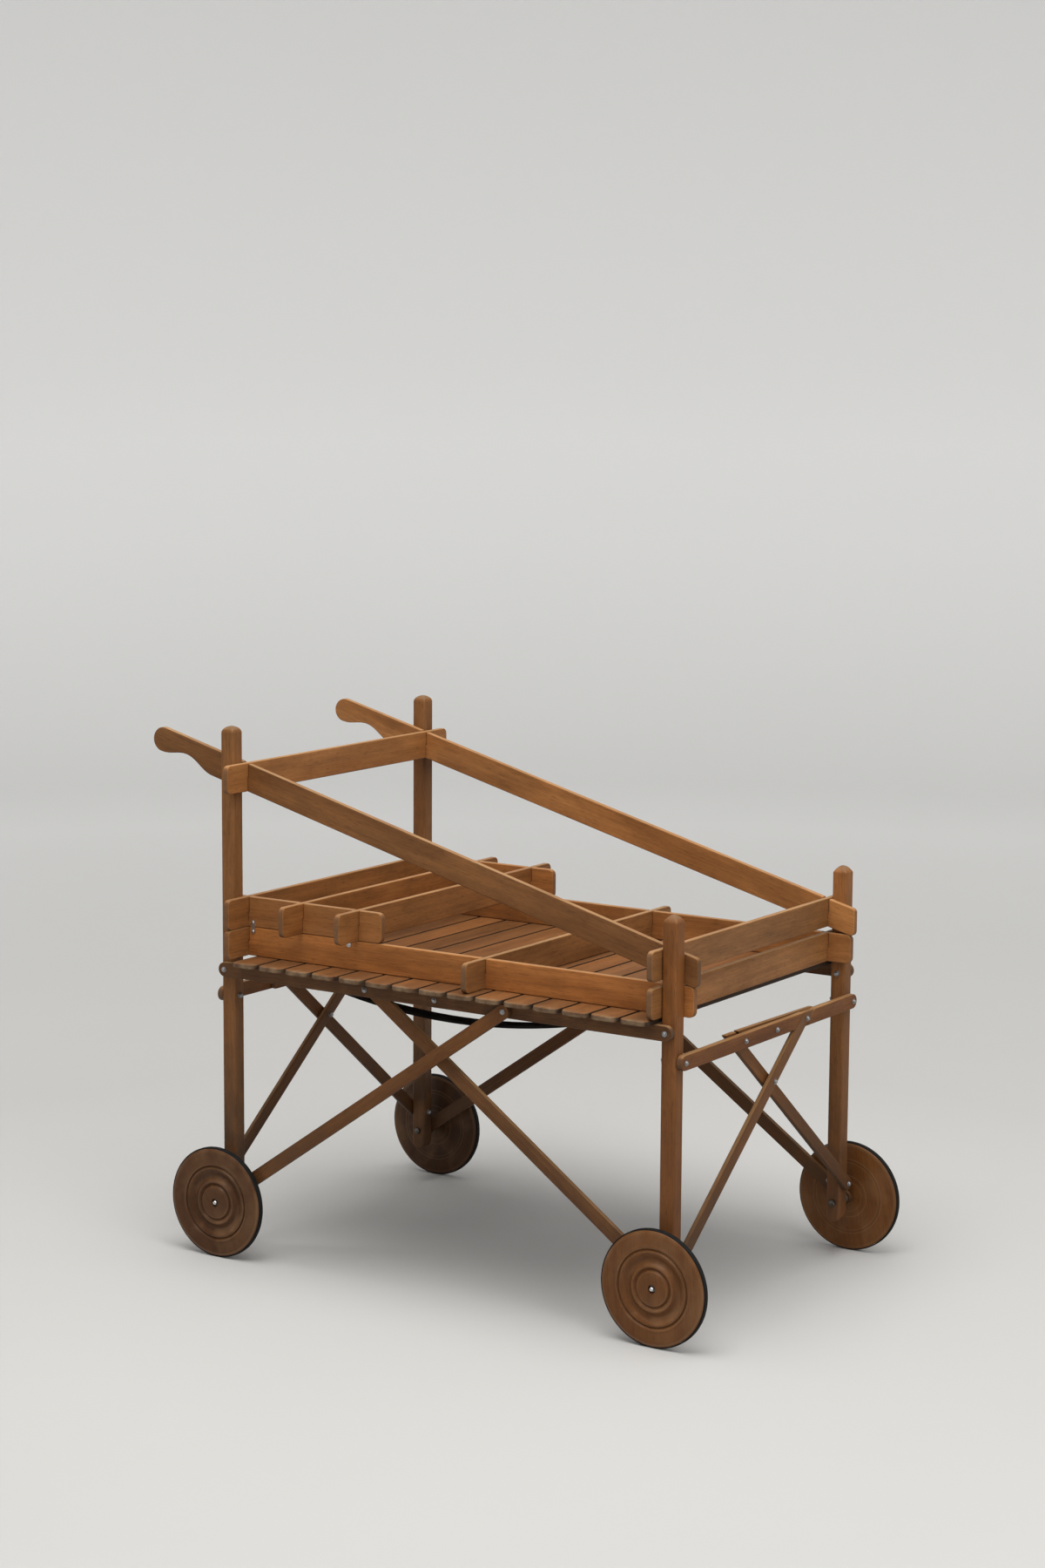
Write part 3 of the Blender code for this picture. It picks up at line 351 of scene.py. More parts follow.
class Finish:
    """One node material. Each method adds nodes and gives back the socket that they end in."""

    def __init__(self, name, roughness=0.5, metallic=0.0, shine=SATIN_SHINE):
        self.material = bpy.data.materials.new(name)
        self.material.use_nodes = True
        self.tree = self.material.node_tree
        self.shader = self.tree.nodes["Principled BSDF"]
        self.shader.inputs["Roughness"].default_value = roughness
        self.shader.inputs["Specular IOR Level"].default_value = shine
        self.shader.inputs["Metallic"].default_value = metallic
        self.place = self.add("ShaderNodeTexCoord").outputs["Object"]

    def add(self, kind, inputs=(), **settings):
        node = self.tree.nodes.new(kind)
        for name, value in settings.items():
            setattr(node, name, value)
        for name, value in dict(inputs).items():
            self.feed(node.inputs[name], value)
        return node

    def feed(self, socket, value):
        if isinstance(value, bpy.types.NodeSocket):
            self.tree.links.new(value, socket)
        elif socket.type == "RGBA":
            socket.default_value = (*tuple(value)[:3], 1.0)
        else:
            socket.default_value = value

    def moved(self, vector, turn=(0, 0, 0), shift=(0, 0, 0), stretch=(1, 1, 1)):
        made = self.add("ShaderNodeMapping", {"Vector": vector, "Rotation": turn, "Location": shift,
                                              "Scale": stretch})
        return made.outputs["Vector"]

    def noise(self, vector, stretch, detail=2.0, roughness=0.5, distortion=0.0):
        """Soft noise, finer where stretch is larger. One number stretches all three directions."""
        if isinstance(stretch, float):
            stretch = (stretch, stretch, stretch)
        made = self.add("ShaderNodeTexNoise", {
            "Vector": self.moved(vector, stretch=stretch), "Scale": 1.0, "Detail": detail,
            "Roughness": roughness, "Distortion": distortion})
        return made.outputs["Fac"]

    def sum(self, operation, first, second=0.0, clamp=False):
        made = self.add("ShaderNodeMath", operation=operation, use_clamp=clamp)
        self.feed(made.inputs[0], first)
        self.feed(made.inputs[1], second)
        return made.outputs[0]

    def times(self, first, second):
        return self.sum("MULTIPLY", first, second)

    def span(self, value, low, high, out_low=0.0, out_high=1.0):
        made = self.add("ShaderNodeMapRange", {"Value": value, "From Min": low, "From Max": high,
                                               "To Min": out_low, "To Max": out_high})
        return made.outputs["Result"]

    def mix(self, share, first, second, how="MIX"):
        made = self.add("ShaderNodeMix", data_type="RGBA", blend_type=how)
        self.feed(made.inputs[0], share)
        self.feed(made.inputs[6], first)
        self.feed(made.inputs[7], second)
        return made.outputs[2]

    def part_of(self, vector, name):
        return self.add("ShaderNodeSeparateXYZ", {"Vector": vector}).outputs[name]

    def vectors(self, operation, first, second=None, out="Vector"):
        made = self.add("ShaderNodeVectorMath", operation=operation)
        self.feed(made.inputs[0], first)
        if second is not None:
            self.feed(made.inputs[1], second)
        return made.outputs[out]

    def facing(self, direction):
        """How far the surface faces a direction of the object's own frame, from -1 to 1."""
        normal = self.add("ShaderNodeTexCoord").outputs["Normal"]
        return self.vectors("DOT_PRODUCT", normal, tuple(direction), out="Value")

    def ramp(self, value, stops):
        """Strength over a value, from (place, strength) stops."""
        made = self.add("ShaderNodeValToRGB", {"Fac": value})
        elements = made.color_ramp.elements
        for element, (position, amount) in zip(elements, (stops[0], stops[-1])):
            element.position = position
            element.color = (amount, amount, amount, 1)
        for position, amount in stops[1:-1]:
            elements.new(position).color = (amount, amount, amount, 1)
        return made.outputs["Color"]

    def bump(self, height, strength, distance, below=None):
        made = self.add("ShaderNodeBump", {"Height": height, "Strength": strength, "Distance": distance})
        if below is not None:
            self.feed(made.inputs["Normal"], below)
        return made.outputs["Normal"]

    def wear(self, colour=None, roughness=None, normal=None):
        for name, value in (("Base Color", colour), ("Roughness", roughness), ("Normal", normal)):
            if value is not None:
                self.feed(self.shader.inputs[name], value)
        return self.material


def wood_figure(finish, grain, settings, depth):
    """Colour and surface height of beech along the X axis of grain: rings, fibres and pores."""
    cloud = finish.noise(grain, (2.2, 22.0, 22.0), detail=3.0)
    colour = finish.mix(finish.span(cloud, 0.32, 0.68), settings.light_tone, settings.dark_tone)
    contour = finish.noise(grain, (0.7, 13.0, 13.0), detail=1.0, distortion=0.15)
    waves = finish.sum("SINE", finish.times(contour, 96.0))
    rings = finish.span(waves, -0.2, 1.0)
    colour = finish.mix(finish.times(rings, 0.10 * depth), colour, settings.pore_tone)
    fibres = finish.noise(grain, (8.0, 430.0, 430.0), detail=4.0, roughness=0.66)
    lines = finish.span(fibres, 0.40, 0.72)
    colour = finish.mix(finish.times(lines, 0.38 * depth), colour, settings.pore_tone)
    specks = finish.noise(grain, (60.0, 950.0, 950.0), detail=1.0)
    pores = finish.span(specks, 0.58, 0.70)
    colour = finish.mix(finish.times(pores, 0.50 * depth), colour, settings.pore_tone)
    patina = finish.span(finish.noise(grain, (14.0, 48.0, 48.0), detail=5.0, roughness=0.6), 0.45, 0.75)
    colour = finish.mix(finish.times(patina, 0.34 * depth), colour, settings.pore_tone)
    height = finish.sum("SUBTRACT", finish.times(fibres, 0.6), finish.times(pores, 0.5))
    return colour, height, cloud


def board_finish(node, seed, settings, tone_and_light=1.0, rubbing=0.75, weathered=0.0, shaded_and_soiled_below=0.0,
                 shade_and_soiling=0.75, redness=0.0, covered_to=None):
    """Oiled beech for one CAD piece, grain along its length, with worn tops and open end grain, and painted
    shade on its undersides.

    Below a given height it is darkened in patches, as painted shade under the deck with some dirt. Up to the
    middle of the piece named in covered_to its top edge is covered and not rubbed.
    """
    along, across, square = long_axes(node)
    finish = Finish("oiled_beech_" + node)
    turn = Matrix((along, across, square)).to_euler("XYZ")
    shift = (seed * 1.37, seed * 0.71, seed * 2.13)
    grain = finish.moved(finish.place, turn=tuple(turn), shift=shift)
    colour, height, cloud = wood_figure(finish, grain, settings, 1.0)

    # Each piece's own tone, with painted light and shade set piece by piece, and blotches from handling
    tint = 1.0 + 0.11 * math.sin(seed * 12.9898)
    warm = 0.035 * math.sin(seed * 78.233)
    piece_tone_and_light = (tone_and_light * tint, tone_and_light * (tint - warm - 0.5 * redness), tone_and_light * (tint - 2.4 * warm - redness))
    colour = finish.mix(1.0, colour, piece_tone_and_light, how="MULTIPLY")
    handled = finish.noise(grain, (5.0, 16.0, 16.0), detail=6.0, roughness=0.6)
    colour = finish.mix(1.0, colour, finish.span(handled, 0.34, 0.66, 0.80, 1.16), how="MULTIPLY")

    # Tops rubbed pale
    upward = finish.span(finish.facing((0, 0, 1)), 0.55, 0.95)
    if covered_to:
        cover = middle(covered_to).x
        bare = finish.span(finish.part_of(finish.place, "X"), cover - COVER_EDGE, cover + COVER_EDGE)
        upward = finish.times(upward, bare)
    patches = finish.span(finish.noise(grain, (9.0, 60.0, 60.0), detail=4.0), 0.35, 0.70)
    wear_and_highlight = finish.times(upward, finish.span(patches, 0.0, 1.0, 0.4 * rubbing, rubbing))
    colour = finish.mix(wear_and_highlight, colour, RUBBED_WOOD)

    # Painted shade on undersides, and open end grain
    underside_shade = finish.span(finish.facing((0, 0, -1)), 0.25, 0.70, 0.0, 0.60)
    colour = finish.mix(underside_shade, colour, UNDERSIDE_SHADE)
    ends = finish.span(finish.sum("ABSOLUTE", finish.facing(along)), 0.62, 0.86)
    end_pores = finish.span(finish.noise(finish.place, 1400.0, detail=2.0), 0.3, 0.7)
    end_colour = finish.mix(end_pores, END_GRAIN_DARK, END_GRAIN_PALE)
    colour = finish.mix(finish.times(ends, 0.55 + 0.4 * weathered), colour, end_colour)

    # Painted shade on the slats' sides in the gaps between them, and their bleached ends
    if weathered:
        flank_shade = finish.span(finish.sum("ABSOLUTE", finish.facing((1, 0, 0))), 0.50, 0.85, 0.0, 0.95)
        colour = finish.mix(flank_shade, colour, SLAT_GAP_SHADE)
        outward = finish.sum("ABSOLUTE", finish.part_of(finish.place, "Y"))
        reach = finish.span(outward, SLAT_ENDS_FROM, SLAT_ENDS_TO)
        ragged = finish.span(finish.noise(finish.place, 60.0, detail=5.0), 0.38, 0.66)
        bleached = finish.times(finish.times(reach, ragged), weathered)
        colour = finish.mix(bleached, colour, settings.weathered_tone)
    # Darker towards the bottom in patches: painted shade under the deck, with some dirt
    if shaded_and_soiled_below:
        low = finish.span(finish.part_of(finish.place, "Z"), shaded_and_soiled_below, shaded_and_soiled_below * 0.3)
        shade_and_stain_patches = finish.span(finish.noise(finish.place, (34.0, 34.0, 22.0), detail=5.0), 0.30, 0.62)
        shade_and_dirt = finish.times(low, finish.span(shade_and_stain_patches, 0.0, 1.0, 0.45 * shade_and_soiling, shade_and_soiling))
        colour = finish.mix(shade_and_dirt, colour, LOW_SHADE_AND_DIRT)

    roughness = finish.span(cloud, 0.3, 0.7, 0.50 + 0.15 * weathered, 0.64 + 0.15 * weathered)
    fine = finish.bump(height, 0.35, 0.0005)
    dents = finish.noise(grain, (22.0, 70.0, 70.0), detail=2.0)
    normal = finish.bump(dents, 0.16, 0.0012, below=fine)
    return finish.wear(colour, roughness, normal)


def add_modifier(piece, name, kind, **settings):
    modifier = piece.modifiers.new(name, kind)
    for setting, value in settings.items():
        setattr(modifier, setting, value)


def weld_points(piece):
    add_modifier(piece, "weld", "WELD", merge_threshold=WELD_REACH)


def split_sharp_edges(piece, degrees):
    add_modifier(piece, "sharp edges", "EDGE_SPLIT", split_angle=math.radians(degrees))


def ease_edges(piece, width):
    """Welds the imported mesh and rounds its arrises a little, by modifiers only."""
    weld_points(piece)
    add_modifier(piece, "flat faces", "DECIMATE", decimate_type="DISSOLVE", angle_limit=math.radians(0.5))
    add_modifier(piece, "eased edges", "BEVEL", width=width, segments=3, limit_method="ANGLE",
                 angle_limit=math.radians(40), harden_normals=True)


def smooth_all(mesh):
    for face in mesh.polygons:
        face.use_smooth = True


def drop_stored_normals(mesh):
    """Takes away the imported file's own normals, so that eased edges shade smoothly."""
    stored = mesh.attributes.get("custom_normal")
    if stored is not None:
        mesh.attributes.remove(stored)


def dress(node, material, edge):
    """Gives a CAD piece its finish and eased edges, or sharp ones where the panel sets no easing."""
    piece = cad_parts[node]
    piece.data.materials.clear()
    piece.data.materials.append(material)
    drop_stored_normals(piece.data)
    smooth_all(piece.data)
    if edge:
        ease_edges(piece, edge)
    else:
        weld_points(piece)
        split_sharp_edges(piece, 42)


def zinc_finish(name, tone, dulled):
    """Plated steel, dulled in patches, with a few rust-brown specks. One made before is used again."""
    made_before = bpy.data.materials.get(name)
    if made_before is not None:
        return made_before
    finish = Finish(name, metallic=1.0)
    patches = finish.noise(finish.place, 260.0, detail=4.0)
    colour = finish.mix(finish.span(patches, 0.3, 0.7), tone, dulled)
    rust = finish.span(finish.noise(finish.place, 520.0, detail=3.0), 0.66, 0.74)
    colour = finish.mix(finish.times(rust, 0.6), colour, RUST)
    normal = finish.bump(patches, 0.2, 0.0002)
    return finish.wear(colour, finish.span(patches, 0.3, 0.7, 0.30, 0.52), normal)


def chrome_finish(settings):
    """Bright chrome with faint handling marks."""
    finish = Finish("bright_chrome", metallic=1.0)
    haze = finish.noise(finish.place, 190.0, detail=4.0)
    colour = finish.mix(finish.span(haze, 0.35, 0.75), settings.chrome_tone, CHROME_HAZE)
    return finish.wear(colour, finish.span(haze, 0.3, 0.8, 0.08, 0.24))


def rubber_finish(settings):
    """Thin black tyre rubber, dusty and scuffed round the tread."""
    finish = Finish("tyre_rubber_worn", shine=RUBBER_SHINE)
    scuffs = finish.noise(finish.place, (70.0, 70.0, 240.0), detail=5.0, roughness=0.65)
    colour = finish.mix(finish.span(scuffs, 0.50, 0.80), settings.rubber_tone, RUBBER_SCUFF)
    grit = finish.noise(finish.place, 900.0, detail=2.0)
    normal = finish.bump(grit, 0.3, 0.0004)
    return finish.wear(colour, finish.span(scuffs, 0.3, 0.8, 0.62, 0.86), normal)


def dark_gap_finish():
    """Painted shade for the unlit wood at the bottom of a bolt recess, with old grease."""
    finish = Finish("painted_shade_greasy_recess")
    shade_and_grease = finish.noise(finish.place, 400.0, detail=3.0)
    colour = finish.mix(shade_and_grease, SHADE_AND_GREASE_DARK, SHADE_AND_GREASE_PALE)
    return finish.wear(colour, finish.span(shade_and_grease, 0.3, 0.7, 0.4, 0.8))


def turned_wood_finish(end, side, settings, wood_radius):
    """Board wood cut across by the turning tool: straight grain, with dirt and painted shade in the grooves,
    and painted highlights on the crests.
    """
    finish = Finish("turned_beech_" + corner_name(end, side))
    seed = 3.1 + end * 1.7 + side * 0.6
    grain_turn = (0, 0, math.radians(80 + 13 * end + 7 * side))
    grain = finish.moved(finish.place, turn=grain_turn, shift=(seed, seed * 2.3, seed * 0.7))
    colour, height, cloud = wood_figure(finish, grain, settings, 0.85)
    # The wheel's tone, with painted shade where it stands in shadow
    tone = tuple(WHEEL_TONES_AND_SHADE[end, side] * share for share in WHEEL_TINT)
    colour = finish.mix(1.0, colour, tone, how="MULTIPLY")
    flat = finish.vectors("MULTIPLY", finish.place, (1 / wood_radius, 1 / wood_radius, 0))
    radius = finish.vectors("LENGTH", flat, out="Value")
    outward = finish.span(finish.facing((0, side, 0)), -0.3, 0.3)

    # Grime and painted shade in the grooves and at the rim of the outer face
    patches = finish.span(finish.noise(finish.place, 45.0, detail=5.0), 0.25, 0.70, 0.45, 1.0)
    shade_and_dirt = finish.times(finish.times(finish.ramp(radius, GROOVE_SHADE_AND_GRIME_STOPS), patches), 0.62)
    colour = finish.mix(finish.times(shade_and_dirt, outward), colour, GROOVE_SHADE_AND_GRIME)

    # Scuffs on the inner face, and painted highlights along the crests of the outer one
    scuffed = finish.span(finish.noise(finish.place, 16.0, detail=5.0), 0.46, 0.70, 0.0, 0.45)
    inward = finish.sum("SUBTRACT", 1.0, outward)
    colour = finish.mix(finish.times(scuffed, inward), colour, SCUFFED_WOOD)
    wear_and_highlight = finish.times(finish.times(finish.ramp(radius, CREST_HIGHLIGHT_STOPS), outward), 0.42)
    colour = finish.mix(wear_and_highlight, colour, CREST_HIGHLIGHT_WOOD)

    marks = finish.sum("SINE", finish.times(radius, TOOL_MARK_PACE))
    normal = finish.bump(marks, 0.08, 0.0002, below=finish.bump(height, 0.3, 0.0004))
    return finish.wear(colour, finish.span(cloud, 0.3, 0.7, 0.36, 0.50), normal)


def webbing_finish():
    """Black woven webbing: fine ribs across, a twill along, faded in patches."""
    finish = Finish("black_webbing", shine=WEBBING_SHINE)
    ribs = finish.sum("SINE", finish.times(finish.part_of(finish.place, "X"), RIB_PACE))
    cords = finish.sum("SINE", finish.times(finish.part_of(finish.place, "Y"), CORD_PACE))
    weave = finish.times(ribs, cords)
    fade = finish.noise(finish.place, 40.0, detail=4.0)
    colour = finish.mix(finish.span(fade, 0.35, 0.75), WEBBING_BLACK, WEBBING_FADED)
    colour = finish.mix(finish.span(weave, -1.0, 1.0, 0.0, 0.15), colour, WEBBING_CREST)
    return finish.wear(colour, 0.90, finish.bump(weave, 0.7, 0.0004))


def smooth_curve(knots_in, knots_out, steps):
    """Points of a smooth line through the knots, with no overshoot between them."""
    places = np.array(knots_in)
    values = np.array(knots_out)
    slopes = np.gradient(values, places)
    points = []
    for index in range(len(places) - 1):
        width = places[index + 1] - places[index]
        for step in range(steps):
            t = step / steps
            h00 = 2 * t**3 - 3 * t**2 + 1
            h10 = t**3 - 2 * t**2 + t
            h01 = -2 * t**3 + 3 * t**2
            h11 = t**3 - t**2
            value = (h00 * values[index] + h10 * width * slopes[index]
                     + h01 * values[index + 1] + h11 * width * slopes[index + 1])
            points.append((places[index] + t * width, value))
    points.append((places[-1], values[-1]))
    return points


def finished_mesh(name, made):
    """The smooth-shaded mesh of a bmesh, which is freed."""
    mesh = bpy.data.meshes.new(name)
    made.to_mesh(mesh)
    made.free()
    smooth_all(mesh)
    return mesh


def lofted_mesh(name, rings):
    """A skin over rings of equally many points, closed at both ends."""
    made = bmesh.new()
    rows = [[made.verts.new(point) for point in ring] for ring in rings]
    for first, second in zip(rows, rows[1:]):
        for step in range(len(first)):
            after = (step + 1) % len(first)
            made.faces.new([first[step], first[after], second[after], second[step]])
    made.faces.new(list(reversed(rows[0])))
    made.faces.new(rows[-1])
    bmesh.ops.recalc_face_normals(made, faces=made.faces)
    return finished_mesh(name, made)


def turned_mesh(name, profile, steps, closed=False):
    """Turns (radius, height) points about Z. A closed profile joins its last point to its first."""
    made = bmesh.new()
    rings = []
    for radius, height in profile:
        if radius < 1e-9:
            rings.append([made.verts.new((0, 0, height))])
            continue
        ring = []
        for step in range(steps):
            angle = math.tau * step / steps
            ring.append(made.verts.new((radius * math.cos(angle), radius * math.sin(angle), height)))
        rings.append(ring)
    pairs = list(zip(rings, rings[1:]))
    if closed:
        pairs.append((rings[-1], rings[0]))
    for lower, upper in pairs:
        for step in range(steps):
            after = (step + 1) % steps
            corners = [lower[step % len(lower)], lower[after % len(lower)],
                       upper[after % len(upper)], upper[step % len(upper)]]
            unique = list(dict.fromkeys(corners))
            if len(unique) > 2:
                made.faces.new(unique)
    bmesh.ops.recalc_face_normals(made, faces=made.faces)
    return finished_mesh(name, made)


def extruded_mesh(name, outline, low, high):
    """A flat outline in XY carried up from one height to another."""
    return lofted_mesh(name, [[(x, y, z) for x, y in outline] for z in (low, high)])


def add_piece(name, mesh, material, matrix, body):
    mesh.materials.append(material)
    piece = bpy.data.objects.new(name, mesh)
    bpy.context.scene.collection.objects.link(piece)
    piece.matrix_world = matrix
    split_sharp_edges(piece, 48)
    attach(piece, body)
    return piece


def outward_matrix(place, direction):
    """Stands a piece made along +Z on a place, pointing in a direction."""
    turn = Vector(direction).to_track_quat("Z", "Y")
    return Matrix.Translation(place) @ turn.to_matrix().to_4x4()


def joined(name, meshes_and_places):
    """One mesh from several, each moved by its own matrix."""
    made = bmesh.new()
    for mesh, matrix in meshes_and_places:
        start = len(made.verts)
        made.from_mesh(mesh)
        made.verts.ensure_lookup_table()
        bmesh.ops.transform(made, matrix=matrix, verts=made.verts[start:])
    return finished_mesh(name, made)


def dome_profile(radius, base, rise, steps=8):
    points = []
    for step in range(steps + 1):
        angle = 0.5 * math.pi * step / steps
        points.append((radius * math.cos(angle), base + rise * math.sin(angle)))
    points[-1] = (0, base + rise)
    return points


def disc_profile(radius, low, high):
    return [(0, low), (radius, low), (radius, high), (0, high)]


def washer_profile(radius, thickness, hole):
    ease = thickness * 0.3
    return [(hole, 0), (radius - ease, 0), (radius, ease), (radius, thickness - ease),
            (radius - ease, thickness), (hole, thickness)]


def hex_mesh(name, across_flats, height, base):
    """A hexagon with its corners rounded off at the top, as a nut has."""
    radius = across_flats / math.sqrt(3)
    corners = [(radius * math.cos(math.radians(60 * corner)), radius * math.sin(math.radians(60 * corner)))
               for corner in range(6)]
    levels = ((0, 1), (HEX_RIM_SHARE, 1), (1, HEX_TOP_SHARE))
    return lofted_mesh(name, [[(x * share, y * share, base + height * up) for x, y in corners]
                              for up, share in levels])


class WAGON_OT_finish_boards(bpy.types.Operator):
    """Finishes posts, boards, slats and laths as oiled beech with eased edges"""

    bl_idname = "wagon.finish_boards"
    bl_label = "Finish the woodwork"

    def execute(self, context):
        settings = context.scene.wagon_looks.wood
        for index, node in enumerate(sorted(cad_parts)):
            kind = next((name for name in KIND_FINISHES if node.startswith(name)), None)
            if kind is None:
                continue
            wanted = {**KIND_FINISHES[kind], **PIECE_FINISHES.get(node, {})}
            material = board_finish(node, 1.0 + index * SEED_STEP, settings, **wanted)
            if kind == "post":
                self.shape_post(node, material)
            elif kind == "slat":
                self.shape_slat(node, material, index)
            elif kind.endswith("brace"):
                dress(node, material, settings.lath_edge)
            else:
                dress(node, material, settings.eased_edge)
        return {"FINISHED"}

    def shape_slat(self, node, material, index):
        """A slat with its four corners worn round, each a little differently."""
        low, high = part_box(node)
        outline = []
        corners = ((high.x, high.y, -1, -1), (low.x, high.y, 1, -1), (low.x, low.y, 1, 1),
                   (high.x, low.y, -1, 1))
        for corner, (x, y, inwards_x, inwards_y) in enumerate(corners):
            radius = SLAT_CORNER + SLAT_CORNER_VARIES * math.sin(7.1 * index + 2.3 * corner)
            for step in range(SLAT_CORNER_STEPS + 1):
                angle = math.radians(90 * corner + 90 * step / SLAT_CORNER_STEPS)
                outline.append((x + inwards_x * radius + radius * math.cos(angle),
                                y + inwards_y * radius + radius * math.sin(angle)))
        mesh = extruded_mesh("shaped_" + node, outline, low.z, high.z)
        piece = add_piece("shaped_" + node, mesh, material, UNMOVED, "deck")
        piece.modifiers.clear()
        ease_edges(piece, SLAT_EDGE)
        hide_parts(node)

    def shape_post(self, node, material):
        """A square post with soft arrises that run over its domed or pointed top."""
        low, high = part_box(node)
        centre = (low + high) / 2
        half = (high.y - low.y) / 2
        dome = REAR_DOME if "rear" in node else FRONT_POINT
        rows = []
        for step in range(POST_FOOT_STEPS, -1, -1):
            angle = 0.5 * math.pi * step / POST_FOOT_STEPS
            across = half - POST_FOOT * (1 - math.cos(angle))
            rows.append((low.z + POST_FOOT * (1 - math.sin(angle)), across, half))
        rows += [(high.z - POST_TOP_RISE * (1 - up), half * share, half * share) for share, up in dome]
        rings = []
        for z, across, deep in rows:
            soft = min(POST_ARRIS, across * POST_ARRIS_LIMIT_SHARE, deep * POST_ARRIS_LIMIT_SHARE)
            ring = []
            for corner, (sign_x, sign_y) in enumerate(((1, 1), (-1, 1), (-1, -1), (1, -1))):
                for step in range(POST_CORNER_STEPS + 1):
                    angle = math.radians(90 * corner + 90 * step / POST_CORNER_STEPS)
                    ring.append((centre.x + sign_x * (across - soft) + soft * math.cos(angle),
                                 centre.y + sign_y * (deep - soft) + soft * math.sin(angle), z))
            rings.append(ring)
        mesh = lofted_mesh("shaped_" + node, rings)
        body = node.split("_")[1] + "_frame"
        piece = add_piece("shaped_" + node, mesh, material, UNMOVED, body)
        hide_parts(node)


def hub_matrix(end, side):
    """The wheel's own place: its centre on the inner face, with +Z pointing outwards."""
    name = corner_name(end, side)
    tyre = middle("tyre_" + name)
    return outward_matrix(Vector((tyre.x, y_face("wheel_" + name, -side), tyre.z)), (0, side, 0))


class WAGON_OT_turn_wheels(bpy.types.Operator):
    """Turns the four wooden wheels with their beads, coves and grooves"""

    bl_idname = "wagon.turn_wheels"
    bl_label = "Turn the wheels"

    def execute(self, context):
        looks = context.scene.wagon_looks
        for end, side in CORNERS:
            name = corner_name(end, side)
            low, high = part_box("wheel_" + name)
            wood_radius = (high.x - low.x) / 2
            thickness = high.y - low.y
            depth = looks.wheel.groove_depth
            knots_r = [wood_radius * share for share in FACE_RADIUS_SHARES]
            knots_z = [thickness - depth * share for share in FACE_DEPTH_SHARES]
            knots_r[0] = looks.wheel.recess_radius
            face = smooth_curve(knots_r, knots_z, FACE_STEPS)
            floor = thickness - depth
            hub = [(BORE_RADIUS, 0.0), (BORE_RADIUS, floor), (looks.wheel.recess_radius, floor)]
            back = [(wood_radius - RIM_ROUND * (1 - math.cos(angle)), RIM_ROUND * (1 - math.sin(angle)))
                    for angle in RIM_ANGLES]
            profile = hub + face + back
            mesh = turned_mesh("turned_wheel_" + name, profile, looks.wheel.turning_steps, closed=True)
            material = turned_wood_finish(end, side, looks.wood, wood_radius)
            matrix = hub_matrix(end, side)
            piece = add_piece("turned_wheel_" + name, mesh, material, matrix, "road_wheel_" + name)
            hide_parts("wheel_" + name)
        return {"FINISHED"}


class WAGON_OT_fit_tyres(bpy.types.Operator):
    """Fits the thin rubber tyres with their rounded shoulders"""

    bl_idname = "wagon.fit_tyres"
    bl_label = "Fit the tyres"

    def execute(self, context):
        looks = context.scene.wagon_looks
        material = rubber_finish(looks.wheel)
        for end, side in CORNERS:
            name = corner_name(end, side)
            low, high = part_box("tyre_" + name)
            wheel_low, wheel_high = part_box("wheel_" + name)
            outer = (high.x - low.x) / 2
            inner = (wheel_high.x - wheel_low.x) / 2 + SEAT_GAP
            middle_out = (wheel_high.y - wheel_low.y) / 2
            start = middle_out - looks.wheel.rubber_width / 2
            stop = middle_out + looks.wheel.rubber_width / 2
            shoulder = (outer - inner) * TYRE_SHOULDER_SHARE
            angles = [0.5 * math.pi * step / TYRE_STEPS for step in range(TYRE_STEPS + 1)]
            profile = [(inner, start)]
            profile += [(outer - shoulder * (1 - math.sin(angle)), start + shoulder * (1 - math.cos(angle)))
                        for angle in angles]
            profile += [(outer - shoulder * (1 - math.cos(angle)), stop - shoulder * (1 - math.sin(angle)))
                        for angle in angles]
            profile.append((inner, stop))
            mesh = turned_mesh("rubber_tyre_" + name, profile, looks.wheel.turning_steps, closed=True)
            matrix = hub_matrix(end, side)
            piece = add_piece("rubber_tyre_" + name, mesh, material, matrix, "road_wheel_" + name)
            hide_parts("tyre_" + name)
        return {"FINISHED"}


